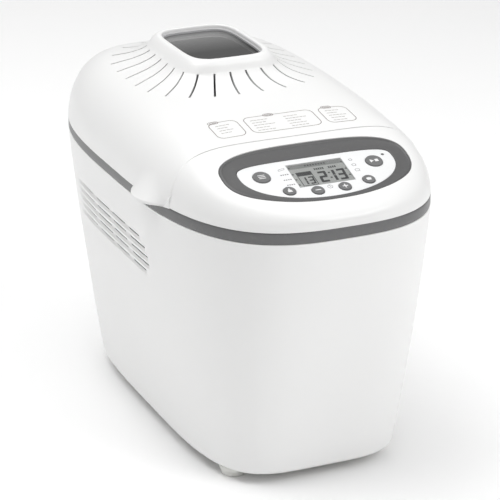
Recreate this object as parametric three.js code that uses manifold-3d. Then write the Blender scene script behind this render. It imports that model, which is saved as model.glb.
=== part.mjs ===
// A domestic bread machine with a long horizontal pan, two kneading paddles and a domed, hinged lid.
// Units are millimetres. +Z is up, the control panel faces -Y, and the origin is at the bottom centre.
import * as THREE from 'three';
import { mergeVertices } from 'three/addons/utils/BufferGeometryUtils.js';
import Module from 'manifold-3d';

const wasm = await Module();
wasm.setup();

// ---------------------------------------------------------------------------
// Driving dimensions
// ---------------------------------------------------------------------------
const gap = 0.3;                 // clearance between neighbouring pieces
const wall = 2.4;                // moulded casing wall
const footHeight = 9;            // the casing's lower edge stands this high
const baseHalfWidth = 90.5;      // casing plan at its lower edge
const baseHalfDepth = 172.8;
const beltHalfWidth = 120;       // casing plan at the belt
const beltHalfDepth = 211.2;
const beltBottom = 227.2;
const beltTop = 237;
const domeFloor = 237.3;         // the dome's springing plane
const rimHeight = 313.9;         // top of the window chimney
const chimneyY = 65.9;           // centre of the window
const windowHalfWidth = 34;
const windowHalfDepth = 49.1;
const seamY = -111.5;            // lid to control housing, across the top
const seamLean = 4;              // how far the seam runs forward down the flanks
const seamGap = 1.1;
const panelTilt = THREE.MathUtils.degToRad(17.25);
const panelCentre = new THREE.Vector3(0, -159.3, 266.6);
const cavityY = 38;              // centre of the oven cavity and of the pan
const cavityHalfWidth = 74;
const cavityHalfDepth = 128;
const cavityFloor = 66;
const panFloor = 86;
const panRim = 212;
const spindleOffsets = [-55, 55];
const handlePivotZ = 203;
const hingeY = 206.5;
const hingeZ = 248;
const hingeX = 30;

const part = new THREE.Group();

// ---------------------------------------------------------------------------
// Finishes
// ---------------------------------------------------------------------------
function finish(color, roughness, metalness = 0, extra = {}) {
  return () => new THREE.MeshStandardMaterial({ color, roughness, metalness, ...extra });
}
const whitePlastic = finish(0xf4f4f2, 0.32);
const darkGreyPlastic = finish(0x74777a, 0.45);
const facePlastic = finish(0xf0f1f1, 0.4);
const blackPlastic = finish(0x26272a, 0.55);
const palePlastic = finish(0xe6e6e2, 0.6);
const clearGlass = finish(0x5a5e60, 0.08, 0, { transparent: true, opacity: 0.45 });
const steel = finish(0xb9bcbf, 0.35, 0.9);
const galvanised = finish(0xa9adb0, 0.5, 0.8);
const nonStick = finish(0x3a3b3d, 0.45, 0.5);
const rubber = finish(0x2b2b2c, 0.85);
const circuit = finish(0x2f6b46, 0.5);

// ---------------------------------------------------------------------------
// Making and cutting solids
// ---------------------------------------------------------------------------
// A closed three.js geometry as a manifold solid, with its shared corners merged.
function solid(geometry) {
  const bare = geometry.clone();
  bare.deleteAttribute('normal');
  bare.deleteAttribute('uv');
  const merged = mergeVertices(bare, 1e-4);
  return new wasm.Manifold(new wasm.Mesh({
    numProp: 3,
    vertProperties: new Float32Array(merged.attributes.position.array),
    triVerts: new Uint32Array(merged.index.array),
  }));
}

function geometryOf(manifold) {
  const mesh = manifold.getMesh();
  const geometry = new THREE.BufferGeometry();
  geometry.setAttribute('position', new THREE.BufferAttribute(mesh.vertProperties, 3));
  geometry.setIndex(new THREE.BufferAttribute(mesh.triVerts, 1));
  geometry.computeVertexNormals();
  return geometry;
}

const join = (first, ...others) => others.reduce((sum, other) => sum.add(other), first);
const cut = (first, ...others) => others.reduce((rest, other) => rest.subtract(other), first);
const meet = (first, other) => first.intersect(other);

function add(name, shape, material) {
  const geometry = shape.isBufferGeometry ? shape : geometryOf(shape);
  const mesh = new THREE.Mesh(geometry, material());
  mesh.name = name;
  part.add(mesh);
}

// A box from its lowest to its highest corner.
function block(x0, y0, z0, x1, y1, z1) {
  const geometry = new THREE.BoxGeometry(x1 - x0, y1 - y0, z1 - z0);
  return geometry.translate((x0 + x1) / 2, (y0 + y1) / 2, (z0 + z1) / 2);
}

// A turned piece about a vertical axis: profile is a list of [radius, height].
function turned(profile, x, y, sides = 16) {
  const points = profile.map(([radius, height]) => new THREE.Vector2(radius, height));
  return new THREE.LatheGeometry(points, sides).rotateX(Math.PI / 2).translate(x, y, 0);
}

function rod(radius, x, y, z0, z1, sides = 12) {
  return turned([[0, z0], [radius, z0], [radius, z1], [0, z1]], x, y, sides);
}

function ring(inner, outer, x, y, z0, z1, sides = 14) {
  return turned([[inner, z0], [outer, z0], [outer, z1], [inner, z1], [inner, z0]], x, y, sides);
}

// A rod along X.
function crossRod(radius, x0, x1, y, z, sides = 12) {
  const geometry = new THREE.CylinderGeometry(radius, radius, x1 - x0, sides);
  return geometry.rotateZ(Math.PI / 2).translate((x0 + x1) / 2, y, z);
}

// Points round |x/a|^nx + |y/b|^ny = 1, anticlockwise from +X, closer together where it turns.
function roundedOutline(a, b, nx, ny, count) {
  const quarter = count / 4;
  const steps = 400;
  const turnWeight = 0.3 * (a + b);
  const fine = [];
  for (let i = 0; i <= steps; i += 1) {
    const angle = (i / steps) * (Math.PI / 2);
    const x = a * Math.max(Math.cos(angle), 0) ** (2 / nx);
    const y = b * Math.max(Math.sin(angle), 0) ** (2 / ny);
    fine.push(new THREE.Vector2(i === steps ? 0 : x, i === 0 ? 0 : y));
  }
  const along = [0];
  let heading = Math.PI / 2;
  for (let i = 1; i <= steps; i += 1) {
    const run = fine[i].clone().sub(fine[i - 1]);
    const bend = Math.max(run.angle() - heading, 0);
    heading = Math.max(heading, run.angle());
    along.push(along[i - 1] + run.length() + turnWeight * bend);
  }
  const corner = [];
  let next = 1;
  for (let k = 0; k <= quarter; k += 1) {
    const want = (along[steps] * k) / quarter;
    while (next < steps && along[next] < want) next += 1;
    const share = (want - along[next - 1]) / (along[next] - along[next - 1]);
    corner.push(fine[next - 1].clone().lerp(fine[next], THREE.MathUtils.clamp(share, 0, 1)));
  }
  const outline = [];
  for (let k = 0; k < quarter; k += 1) outline.push(corner[k]);
  for (let k = quarter; k > 0; k -= 1) outline.push(new THREE.Vector2(-corner[k].x, corner[k].y));
  for (let k = 0; k < quarter; k += 1) outline.push(new THREE.Vector2(-corner[k].x, -corner[k].y));
  for (let k = quarter; k > 0; k -= 1) outline.push(new THREE.Vector2(corner[k].x, -corner[k].y));
  return outline;
}

// A closed solid through rings of equal point counts, each ring flat and convex.
function loft(rings) {
  const count = rings[0].length;
  const positions = rings.flat().flatMap((p) => [p.x, p.y, p.z]);
  const faces = [];
  for (let r = 0; r + 1 < rings.length; r += 1) {
    for (let i = 0; i < count; i += 1) {
      const j = (i + 1) % count;
      const a = r * count + i;
      const b = r * count + j;
      faces.push([a, b, b + count], [a, b + count, a + count]);
    }
  }
  const last = (rings.length - 1) * count;
  for (let i = 1; i + 1 < count; i += 1) {
    faces.push([0, i + 1, i], [last, last + i, last + i + 1]);
  }
  let volume = 0;
  const corner = (i) => new THREE.Vector3().fromArray(positions, 3 * i);
  for (const [a, b, c] of faces) volume += corner(a).dot(corner(b).cross(corner(c)));
  const index = faces.flatMap(([a, b, c]) => (volume > 0 ? [a, b, c] : [a, c, b]));
  const geometry = new THREE.BufferGeometry();
  geometry.setAttribute('position', new THREE.Float32BufferAttribute(positions, 3));
  geometry.setIndex(index);
  return geometry;
}

const flatRing = (outline, z, y = 0) => outline.map((p) => new THREE.Vector3(p.x, p.y + y, z));

// A rounded tub or plug: each level is [height, half width, half depth, centre y, exponent].
function stack(levels, count = 24) {
  return loft(levels.map(([z, a, b, y = cavityY, n = 5]) => (
    flatRing(roundedOutline(a, b, n, n, count), z, y)
  )));
}

// A path of straight runs whose every corner is one step of the extrusion.
class BentPath extends THREE.Curve {
  constructor(points) {
    super();
    this.points = points;
  }

  getPointAt(t) {
    const place = t * (this.points.length - 1);
    const k = Math.min(Math.floor(place + 1e-9), this.points.length - 2);
    return this.points[k].clone().lerp(this.points[k + 1], place - k);
  }

  getPoint(t) {
    return this.getPointAt(t);
  }

  getTangentAt(t) {
    const k = Math.round(t * (this.points.length - 1));
    const run = (from, to) => (this.points[to] && this.points[from]
      ? this.points[to].clone().sub(this.points[from]).normalize() : new THREE.Vector3());
    return run(k - 1, k).add(run(k, k + 1)).normalize();
  }
}

// A bent rod, six-sided.
function bentRod(points, radius) {
  const section = new THREE.Shape();
  for (let k = 0; k < 6; k += 1) {
    const angle = (k * Math.PI) / 3;
    const move = k === 0 ? 'moveTo' : 'lineTo';
    section[move](radius * Math.cos(angle), radius * Math.sin(angle));
  }
  return new THREE.ExtrudeGeometry(section, {
    steps: points.length - 1, extrudePath: new BentPath(points), bevelEnabled: false,
  });
}

function prism(outline, depth) {
  return new THREE.ExtrudeGeometry(new THREE.Shape(outline), { depth, bevelEnabled: false });
}

// A side profile of [y, z] points run across the machine, from x0 to x1.
function sideProfile(points, x0, x1) {
  const outline = points.map(([y, z]) => new THREE.Vector2(y, z));
  const geometry = prism(outline, x1 - x0);
  const toMachine = new THREE.Matrix4().makeBasis(
    new THREE.Vector3(0, 1, 0), new THREE.Vector3(0, 0, 1), new THREE.Vector3(1, 0, 0),
  );
  return geometry.applyMatrix4(toMachine).translate(x0, 0, 0);
}

// ---------------------------------------------------------------------------
// The outer form
// ---------------------------------------------------------------------------
// The casing's plan at a height, drawn in by an inset.
function casingRing(z, inset, count = 40) {
  const t = THREE.MathUtils.clamp((z - footHeight) / (beltBottom - footHeight), 0, 1);
  const grow = 1 - (1 - t) ** 1.095;
  const a = THREE.MathUtils.lerp(baseHalfWidth, beltHalfWidth, grow) - inset;
  const b = THREE.MathUtils.lerp(baseHalfDepth, beltHalfDepth, grow) - inset;
  const nx = THREE.MathUtils.lerp(4.34, 2.876, t);
  const ny = THREE.MathUtils.lerp(3.94, 3.211, t);
  return flatRing(roundedOutline(a, b, nx, ny, count), z);
}

// The dome over the belt: its half width and crown at a distance y from the middle.
function domeHalfWidth(y) {
  return beltHalfWidth * Math.max(1 - Math.abs(y / beltHalfDepth) ** 3.211, 0) ** (1 / 2.876);
}

function domeCrown(y) {
  const h = y / 100;
  const ridge = 56.17 + 3.515 * h - 3.28 * h ** 2 + 1.946 * h ** 3;
  const reach = Math.min(Math.abs(y) / beltHalfDepth, 1);
  return y < 0 ? ridge * (1 - reach ** 3) ** (1 / 6) : ridge * (1 - reach ** 6.8) ** (1 / 1.3);
}

// The arch is boxier at the control panel than over the window.
function domeBox(y) {
  return 7.68 - 3.04 * THREE.MathUtils.smoothstep(y, -170, -60);
}
const domeRound = 1.774;

function domeTop(x, y) {
  const share = Math.min(Math.abs(x) / domeHalfWidth(y), 1);
  return domeFloor + domeCrown(y) * (1 - share ** domeBox(y)) ** (1 / domeRound);
}

const domeStations = [
  -210.9, -208.5, -203, -194, -180, -160, -132, -95, -45, 15, 75, 115, 145, 166, 183, 196, 204, 209, 210.9,
];

// The whole dome as a solid on the springing plane, drawn in all over by an inset.
function domeSolid(inset, count = 28) {
  const floor = domeFloor - (inset > 0 ? 6 : 0);
  const shrink = (beltHalfDepth - inset) / beltHalfDepth;
  const rings = domeStations.map((y) => {
    const a = Math.max(domeHalfWidth(y) - inset, 1);
    const crown = Math.max(domeCrown(y) - inset, 0.5);
    const outline = roundedOutline(a, crown, domeBox(y), domeRound, count);
    const arch = outline.slice(0, count / 2 + 1);
    const section = arch.map((p) => new THREE.Vector3(p.x, y * shrink, domeFloor + p.y));
    if (inset > 0) {
      section.push(new THREE.Vector3(-a, y * shrink, floor), new THREE.Vector3(a, y * shrink, floor));
    }
    return section;
  });
  return solid(loft(rings));
}

// The seam between lid and control housing, seen from the side.
const seamProfile = (shift) => [
  [seamY - seamLean + shift, domeFloor - 12],
  [seamY - seamLean + shift, 250],
  [seamY + shift, 274],
  [seamY + shift, rimHeight + 20],
];

function lidRegion(shift, floor) {
  const points = seamProfile(shift);
  points[0][1] = floor;
  return solid(sideProfile([...points, [240, rimHeight + 20], [240, floor]], -150, 150));
}

function housingRegion(floor) {
  const points = seamProfile(0);
  points[0][1] = floor;
  return solid(sideProfile([[-240, floor], ...points, [-240, rimHeight + 20]], -150, 150));
}

// ---------------------------------------------------------------------------
// Casing
// ---------------------------------------------------------------------------
const ventRows = [161, 168.5, 175.5, 183, 190.5];
const ventColumns = 4;
const ventLength = 34;
const ventHalfHeight = 1.1;
const ventPitch = 42.5;
const ventFirst = -57;
const ventCut = 40;              // cutters this long run through the flank

function sideVents() {
  const slots = [];
  for (const side of [-1, 1]) {
    for (const z of ventRows) {
      for (let column = 0; column < ventColumns; column += 1) {
        const y = ventFirst + column * ventPitch;
        const inner = side > 0 ? baseHalfWidth - wall : -baseHalfWidth + wall - ventCut;
        slots.push(solid(block(inner, y, z - ventHalfHeight,
          inner + ventCut, y + ventLength, z + ventHalfHeight)));
      }
    }
  }
  return slots;
}

const neckInset = 3;
const cordX = 40;               // cord outlet, low in the rear wall
const cordZ = 36;
const glandY = 168;

function bodyShell() {
  const edge = 5;
  const outer = [];
  for (let k = 0; k <= 3; k += 1) {
    const angle = (k / 3) * (Math.PI / 2);
    outer.push(casingRing(footHeight + edge * (1 - Math.cos(angle)), edge * (1 - Math.sin(angle))));
  }
  for (const z of [80, 150, beltBottom]) outer.push(casingRing(z, 0));
  outer.push(casingRing(beltBottom, neckInset));
  outer.push(casingRing(beltTop, neckInset));
  const throat = edge + wall;
  const inner = [casingRing(footHeight - 2, throat), casingRing(footHeight + 5, throat)];
  inner.push(casingRing(footHeight + 9, wall));
  for (const z of [80, 150, beltBottom - 6]) inner.push(casingRing(z, wall));
  inner.push(casingRing(beltBottom - 1, neckInset + wall));
  inner.push(casingRing(beltTop + 2, neckInset + wall));
  const cordHole = solid(new THREE.CylinderGeometry(7.3, 7.3, 40, 12).translate(cordX, glandY, cordZ));
  return cut(solid(loft(outer)), solid(loft(inner)), cordHole, ...sideVents());
}
add('body_shell', bodyShell(), whitePlastic);

function beltTrim() {
  const ringAt = (z, inset) => casingRing(Math.max(z, beltBottom), inset).map((p) => p.setZ(z));
  const outer = loft([
    ringAt(beltBottom + gap, 0.6), ringAt(beltBottom + 1, 0), ringAt(beltTop - 0.9, 0), ringAt(beltTop, 0.9),
  ]);
  const inner = loft([ringAt(beltBottom - 2, neckInset - gap), ringAt(beltTop + 2, neckInset - gap)]);
  return cut(solid(outer), solid(inner));
}
add('belt_trim', beltTrim(), darkGreyPlastic);

const plateTop = 12;
const footX = 66;
const footY = 134;
const corners = [
  ['front_left', -1, -1], ['front_right', 1, -1],
  ['rear_left', -1, 1], ['rear_right', 1, 1],
];
const screwX = 44;
const screwY = 118;

function basePlate() {
  const throat = 5 + wall + gap;
  const plate = solid(loft([casingRing(footHeight + gap, throat), casingRing(plateTop, throat)]));
  const vents = [];
  for (let k = -3; k <= 3; k += 1) {
    vents.push(solid(block(-20, k * 12 + 60 - 2, 0, 20, k * 12 + 62, 20)));
  }
  const holes = corners.map(([, sx, sy]) => solid(rod(2.3, sx * screwX, sy * screwY, 0, 20, 12)));
  return cut(plate, ...vents, ...holes);
}
add('base_plate', basePlate(), palePlastic);

for (const [corner, sx, sy] of corners) {
  const profile = [[0, 0], [9.5, 0], [10.5, 1.2], [12, footHeight], [0, footHeight]];
  add(`foot_${corner}`, turned(profile, sx * footX, sy * footY, 20), palePlastic);
}
for (const [corner, sx, sy] of corners) {
  const profile = [[0, 7.4], [2.6, 7.4], [4, 8.8], [2, 8.8], [2, 26], [0, 26]];
  add(`base_screw_${corner}`, turned(profile, sx * screwX, sy * screwY, 8), steel);
}

// The deck closes the casing round the cavity mouth and carries the hinge brackets.
const deckBottom = 231.6;
const deckTop = 235.4;
function topDeck() {
  const outline = (z) => casingRing(beltTop, neckInset + wall + gap).map((p) => p.setZ(z));
  const hole = stack([[200, 73.2, 127.2], [260, 73.2, 127.2]]);
  return cut(solid(loft([outline(deckBottom), outline(deckTop)])), solid(hole));
}
add('top_deck', topDeck(), whitePlastic);

add('cord_gland', new THREE.LatheGeometry([
  [4.1, 0], [6.9, 0], [6.9, 11.6], [9.5, 11.6], [9.5, 14.6], [7, 15.6], [4.1, 15.6], [4.1, 0],
].map(([r, h]) => new THREE.Vector2(r, h)), 12).translate(cordX, glandY, cordZ), blackPlastic);

// ---------------------------------------------------------------------------
// Oven cavity, heater and sensor
// ---------------------------------------------------------------------------
function ovenCavity() {
  const outer = stack([
    [cavityFloor, cavityHalfWidth - 5, cavityHalfDepth - 5],
    [cavityFloor + 5, cavityHalfWidth, cavityHalfDepth],
    [229.6, cavityHalfWidth, cavityHalfDepth], [229.6, cavityHalfWidth + 7, cavityHalfDepth + 7],
    [deckBottom - gap, cavityHalfWidth + 7, cavityHalfDepth + 7],
  ]);
  const inner = stack([
    [cavityFloor + 1.2, cavityHalfWidth - 6, cavityHalfDepth - 6],
    [cavityFloor + 6, cavityHalfWidth - 1.2, cavityHalfDepth - 1.2],
    [250, cavityHalfWidth - 1.2, cavityHalfDepth - 1.2],
  ]);
  const holes = spindleOffsets.map((y) => solid(rod(8, 0, cavityY + y, 50, 80)));
  const leads = [-12, 12].map((x) => (
    solid(new THREE.CylinderGeometry(3.9, 3.9, 30, 12).translate(x, cavityY + cavityHalfDepth, 78))
  ));
  const sensor = solid(new THREE.CylinderGeometry(3.6, 3.6, 20, 12)
    .translate(0, cavityY - cavityHalfDepth, 120));
  return cut(solid(outer), solid(inner), ...holes, ...leads, sensor);
}
add('oven_cavity', ovenCavity(), steel);

// A sheathed rod runs once round the cavity's foot and out through the rear wall.
function heatingElement() {
  const loop = roundedOutline(68, 121.5, 5, 5, 32);
  const outline = [[12, cavityHalfDepth + 12], [12, 126.5], [14.5, 122.8], [19, 121.4]];
  for (let k = 7; k >= -23; k -= 1) {
    const p = loop[(k + 32) % 32];
    outline.push([p.x, p.y]);
  }
  outline.push([-19, 121.4], [-14.5, 122.8], [-12, 126.5], [-12, cavityHalfDepth + 12]);
  return bentRod(outline.map(([x, y]) => new THREE.Vector3(x, cavityY + y, 78)), 3.1);
}
add('heating_element', heatingElement(), steel);

add('temperature_sensor', new THREE.LatheGeometry([
  [0, 0], [3.3, 0], [3.3, 8], [5.5, 8], [5.5, 12], [0, 12],
].map(([r, h]) => new THREE.Vector2(r, h)), 10).rotateX(Math.PI)
  .translate(0, cavityY - cavityHalfDepth + 7, 120), steel);

// ---------------------------------------------------------------------------
// Bread pan, shafts and paddles
// ---------------------------------------------------------------------------
const panHalfWidth = [60, 66];
const panHalfDepth = [107, 114];
const panWall = 1.5;

function breadPan() {
  const lip = 3;
  const outer = stack([
    [panFloor, panHalfWidth[0] - 6, panHalfDepth[0] - 6], [panFloor + 6, panHalfWidth[0], panHalfDepth[0]],
    [panRim - 4, panHalfWidth[1], panHalfDepth[1]],
    [panRim - 3.6, panHalfWidth[1] + lip, panHalfDepth[1] + lip],
    [panRim, panHalfWidth[1] + lip, panHalfDepth[1] + lip],
  ]);
  const inner = stack([
    [panFloor + panWall, panHalfWidth[0] - 7, panHalfDepth[0] - 7],
    [panFloor + 7, panHalfWidth[0] - panWall, panHalfDepth[0] - panWall],
    [panRim + 5, panHalfWidth[1] - panWall, panHalfDepth[1] - panWall],
  ]);
  const shaftHoles = spindleOffsets.map((y) => solid(rod(4.4, 0, cavityY + y, 70, 100)));
  const ears = [-1, 1].map((end) => {
    const y0 = cavityY + end * (panHalfDepth[1] - 1);
    const y1 = cavityY + end * (panHalfDepth[1] + 3.8);
    return solid(block(-8, Math.min(y0, y1), handlePivotZ - 8, 8, Math.max(y0, y1), panRim - 1));
  });
  const pivot = solid(new THREE.CylinderGeometry(2.5, 2.5, 2 * panHalfDepth[1] + 20, 14)
    .translate(0, cavityY, handlePivotZ));
  return cut(join(solid(outer), ...ears), solid(inner), ...shaftHoles, pivot);
}
add('bread_pan', breadPan(), nonStick);

// The skirt under the pan keeps the shaft couplings off the worktop.
function panSkirt() {
  const outer = stack([[cavityFloor + 1.2 + gap, 30, 82], [panFloor - gap, 32, 86]]);
  const inner = stack([[cavityFloor - 5, 27, 79], [panFloor + 5, 29, 83]]);
  return cut(solid(outer), solid(inner));
}
add('pan_skirt', panSkirt(), nonStick);

// The bail is a wire whose ends turn in through the pan's ears. It lies on the end rims at rest.
const handleReach = 50;
const handleWire = 2.2;
function panHandle() {
  const outside = panHalfDepth[1] + 7;
  const inside = panHalfDepth[1] - 0.6;
  const restZ = panRim + handleWire + gap;
  const bend = 14;
  const half = [
    [0, inside, handlePivotZ], [0, outside - 3.2, handlePivotZ], [0.9, outside - 0.9, handlePivotZ + 0.3],
    [3.2, outside, handlePivotZ + 0.9], [handleReach - bend, outside, restZ],
    [handleReach - 0.3 * bend, outside - 0.3 * bend, restZ], [handleReach, outside - bend, restZ],
  ];
  const front = half.map(([x, y, z]) => new THREE.Vector3(x, cavityY - y, z));
  const rear = half.map(([x, y, z]) => new THREE.Vector3(x, cavityY + y, z)).reverse();
  return bentRod([...front, ...rear], handleWire);
}
add('pan_handle', panHandle(), steel);

const dogRadius = 12;
// Two dogs on a disc; the pan's pair hangs down between the drive's pair.
function dogs(y, z0, z1, turn) {
  const pair = [];
  for (const side of [-1, 1]) {
    const dog = new THREE.BoxGeometry(6, 5, z1 - z0).translate(side * 8.2, 0, (z0 + z1) / 2);
    pair.push(solid(dog.rotateZ(turn).translate(0, cavityY + y, 0)));
  }
  return pair;
}

function driveSpindle(y) {
  const profile = [
    [0, 13.4], [3.9, 13.4], [3.9, 68.2], [dogRadius, 68.2], [dogRadius, 71.5], [0, 71.5],
  ];
  return join(solid(turned(profile, 0, cavityY + y)), ...dogs(y, 71, 77, 0));
}

function panShaft(y) {
  const profile = [
    [0, 78], [dogRadius, 78], [dogRadius, 81.3], [4, 81.3], [4, 116], [0, 116],
  ];
  return join(solid(turned(profile, 0, cavityY + y)), ...dogs(y, 72, 78.5, Math.PI / 2));
}

// A kneading paddle: a hub with a leaning fin on one side.
function paddle(y, turn) {
  const hub = solid(ring(4.35, 9, 0, cavityY + y, panFloor + panWall + gap + 1, 119, 20));
  const fin = new THREE.Shape([[6, 0], [44, 0], [45, 6], [38, 15], [20, 22], [6, 28]]
    .map(([r, h]) => new THREE.Vector2(r, h)));
  const blade = new THREE.ExtrudeGeometry(fin, { depth: 4, bevelEnabled: false })
    .translate(0, 0, -2).rotateX(Math.PI / 2).rotateZ(turn)
    .translate(0, cavityY + y, panFloor + panWall + gap + 1);
  return join(hub, cut(solid(blade), solid(rod(6, 0, cavityY + y, 60, 140))));
}

const ends = ['front', 'rear'];
spindleOffsets.forEach((y, k) => {
  add(`drive_spindle_${ends[k]}`, driveSpindle(y), steel);
  add(`pan_shaft_${ends[k]}`, panShaft(y), steel);
  add(`kneading_paddle_${ends[k]}`, paddle(y, k === 0 ? -Math.PI / 2 : Math.PI / 2), nonStick);
});

// ---------------------------------------------------------------------------
// Drive train
// ---------------------------------------------------------------------------
const motorY = -142;
const chassisZ = 40;
const [frontY, rearY] = spindleOffsets.map((y) => cavityY + y);
const motorPulleyRadius = 9;
const drivenPulleyRadius = 40;
const timingRadius = 17;

function chassisFrame() {
  const plate = solid(stack([[chassisZ, 44, 150, -25, 6], [chassisZ + 3, 44, 150, -25, 6]], 24));
  const posts = corners.map(([, sx, sy]) => (
    solid(ring(2.3, 6, sx * screwX, sy * screwY, plateTop + gap, chassisZ + 1, 12))
  ));
  const pads = [-50, 30].map((x) => (
    solid(block(x, screwY - 7, chassisZ, x + 20, screwY + 7, chassisZ + 3))
  ));
  const bearings = spindleOffsets.map((y) => solid(rod(8.3, 0, cavityY + y, 30, 60)));
  const motorHole = solid(rod(7, 0, motorY, 30, 60));
  const screwHoles = corners.map(([, sx, sy]) => solid(rod(2.3, sx * screwX, sy * screwY, 5, 60, 12)));
  return cut(join(plate, ...posts, ...pads), ...bearings, motorHole, ...screwHoles);
}
add('drive_chassis', chassisFrame(), galvanised);

spindleOffsets.forEach((y, k) => {
  const profile = [
    [4.2, 36.5], [8, 36.5], [8, chassisZ + 3 + gap], [12, chassisZ + 3 + gap], [12, 47], [8, 47], [7.6, 64],
    [4.2, 64], [4.2, 36.5],
  ];
  add(`spindle_bearing_${ends[k]}`, turned(profile, 0, cavityY + y), steel);
});

// A flanged pulley on a shaft, with the belt's width between its flanges.
function pulley(y, radius, bore, z0, width, sides = 14) {
  const profile = [
    [bore, z0], [radius + 1.6, z0], [radius + 1.6, z0 + 1], [radius, z0 + 1], [radius, z0 + width - 1],
    [radius + 1.6, z0 + width - 1], [radius + 1.6, z0 + width], [bore, z0 + width], [bore, z0],
  ];
  return turned(profile, 0, y, sides);
}
add('driven_pulley', pulley(frontY, drivenPulleyRadius, 4.2, 14, 9), blackPlastic);
add('timing_pulley_front', pulley(frontY, timingRadius, 4.2, 24, 11), blackPlastic);
add('timing_pulley_rear', pulley(rearY, timingRadius, 4.2, 24, 11), blackPlastic);

function motorRotor() {
  const shaft = [[0, 13.4], [3, 13.4], [3, 48], [0, 48]];
  const motorPulley = pulley(motorY, motorPulleyRadius, 2.5, 14, 9, 18);
  return join(solid(turned(shaft, 0, motorY, 10)), solid(motorPulley));
}
add('motor_rotor', motorRotor(), steel);

// A belt round two pulleys, as one closed band.
function beltLoop(y0, r0, y1, r1, thickness, z0, z1) {
  const lean = Math.asin((r1 - r0) / (y1 - y0));
  const around = (angle, y, radius) => (
    new THREE.Vector2(-radius * Math.sin(angle), y + radius * Math.cos(angle))
  );
  const outlineOf = (extra) => {
    const points = [];
    const sides = 16;
    for (let k = 0; k <= sides; k += 1) {
      const angle = -Math.PI / 2 - lean + ((Math.PI + 2 * lean) * k) / sides;
      points.push(around(angle, y1, r1 + extra));
    }
    for (let k = 0; k <= sides; k += 1) {
      const angle = Math.PI / 2 + lean + ((Math.PI - 2 * lean) * k) / sides;
      points.push(around(angle, y0, r0 + extra));
    }
    return points;
  };
  const outer = prism(outlineOf(thickness + gap), z1 - z0).translate(0, 0, z0);
  const inner = prism(outlineOf(gap), z1 - z0 + 4).translate(0, 0, z0 - 2);
  return cut(solid(outer), solid(inner));
}
add('drive_belt', beltLoop(motorY, motorPulleyRadius, frontY, drivenPulleyRadius, 1.1, 15.4, 21.6), rubber);
add('timing_belt', beltLoop(frontY, timingRadius, rearY, timingRadius, 1.1, 25.4, 33.6), rubber);

function motorBody() {
  const profile = [
    [0, 49], [6, 49], [6, chassisZ + 3 + gap], [22, chassisZ + 3 + gap], [24, 46],
    [31, 50], [31, 92], [27, 97],
    [0, 97],
  ];
  return cut(solid(turned(profile, 0, motorY, 18)), solid(rod(3.4, 0, motorY, 30, 48.6, 16)));
}
add('motor_body', motorBody(), galvanised);

// ---------------------------------------------------------------------------
// Control panel
// ---------------------------------------------------------------------------
const panelFrame = new THREE.Matrix4().makeTranslation(panelCentre)
  .multiply(new THREE.Matrix4().makeRotationX(panelTilt));
const onPanel = (geometry) => geometry.clone().applyMatrix4(panelFrame);
const fasciaDepth = 1.2;
const fasciaThickness = 1.8;

// The bezel and the white fascia are both D-like ovals, fuller and flatter along the top.
function ovalOutline(halfWidth, topReach, bottomReach, widest, topPower, bottomPower, grow, count = 32) {
  const points = [];
  for (let k = 0; k < count; k += 1) {
    const angle = (k / count) * 2 * Math.PI;
    const c = Math.cos(angle);
    const s = Math.sin(angle);
    const power = s >= 0 ? topPower : bottomPower;
    const reach = (s >= 0 ? topReach : bottomReach) + grow;
    const x = Math.sign(c) * (halfWidth + grow) * Math.abs(c) ** (2 / power);
    const y = Math.sign(s) * reach * Math.abs(s) ** (2 / power);
    points.push(new THREE.Vector2(x, y + widest));
  }
  return points;
}
const bezelOutline = (grow) => ovalOutline(82, 29.8, 45.4, 9.6, 2.8, 2.3, grow);
const fasciaOutline = (grow) => ovalOutline(68, 15.4, 37.7, 6.2, 4.4, 2.05, grow);

function panelPlug(outline, low, high) {
  return solid(onPanel(prism(outline, high - low).translate(0, 0, low)));
}

function controlHousing() {
  const shell = cut(domeSolid(0), domeSolid(wall));
  const seat = cut(panelPlug(bezelOutline(3.5), -5.6, -3.4), panelPlug(fasciaOutline(-1), -8, 0));
  const bosses = [-96, 96].map((x) => solid(block(x - 4, -150, domeFloor, x + 4, -140, 262)));
  const inside = meet(join(seat, ...bosses), domeSolid(1));
  const whole = join(shell, inside);
  return meet(cut(whole, panelPlug(bezelOutline(gap), -3.4, 20)), housingRegion(domeFloor));
}
add('control_housing', controlHousing(), whitePlastic);

function controlBezel() {
  const plate = cut(panelPlug(bezelOutline(0), -3.4 + gap, 12), panelPlug(fasciaOutline(gap), -12, 20));
  return meet(plate, domeSolid(0.35));
}
add('control_bezel', controlBezel(), darkGreyPlastic);

// Buttons: name, place across and up the panel, and radius.
const buttons = [
  ['menu_button', -49.8, 4.2, 7.2],
  ['start_stop_button', 49.8, 4.2, 7.2],
  ['weight_button', -34.9, -18, 5.2],
  ['crust_button', 34.9, -18, 5.2],
  ['minus_button', -11.9, -22.3, 5.2],
  ['plus_button', 11.9, -22.3, 5.2],
];
const displayHalfWidth = 24.3;
const displayHalfHeight = 15.1;
const lensAt = [60.9, 11.7];

function controlFascia() {
  const plate = panelPlug(fasciaOutline(0), -fasciaDepth - fasciaThickness, -fasciaDepth);
  const holes = buttons.map(([, s, t, radius]) => (
    solid(onPanel(rod(radius + 0.4, s, t, -20, 20, 12)))
  ));
  const lens = solid(onPanel(rod(1.5, ...lensAt, -20, 20, 10)));
  const display = solid(onPanel(block(-displayHalfWidth - gap, -displayHalfHeight - gap, -20,
    displayHalfWidth + gap, displayHalfHeight + gap, 20)));
  return cut(plate, ...holes, lens, display);
}
add('control_fascia', controlFascia(), facePlastic);

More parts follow.
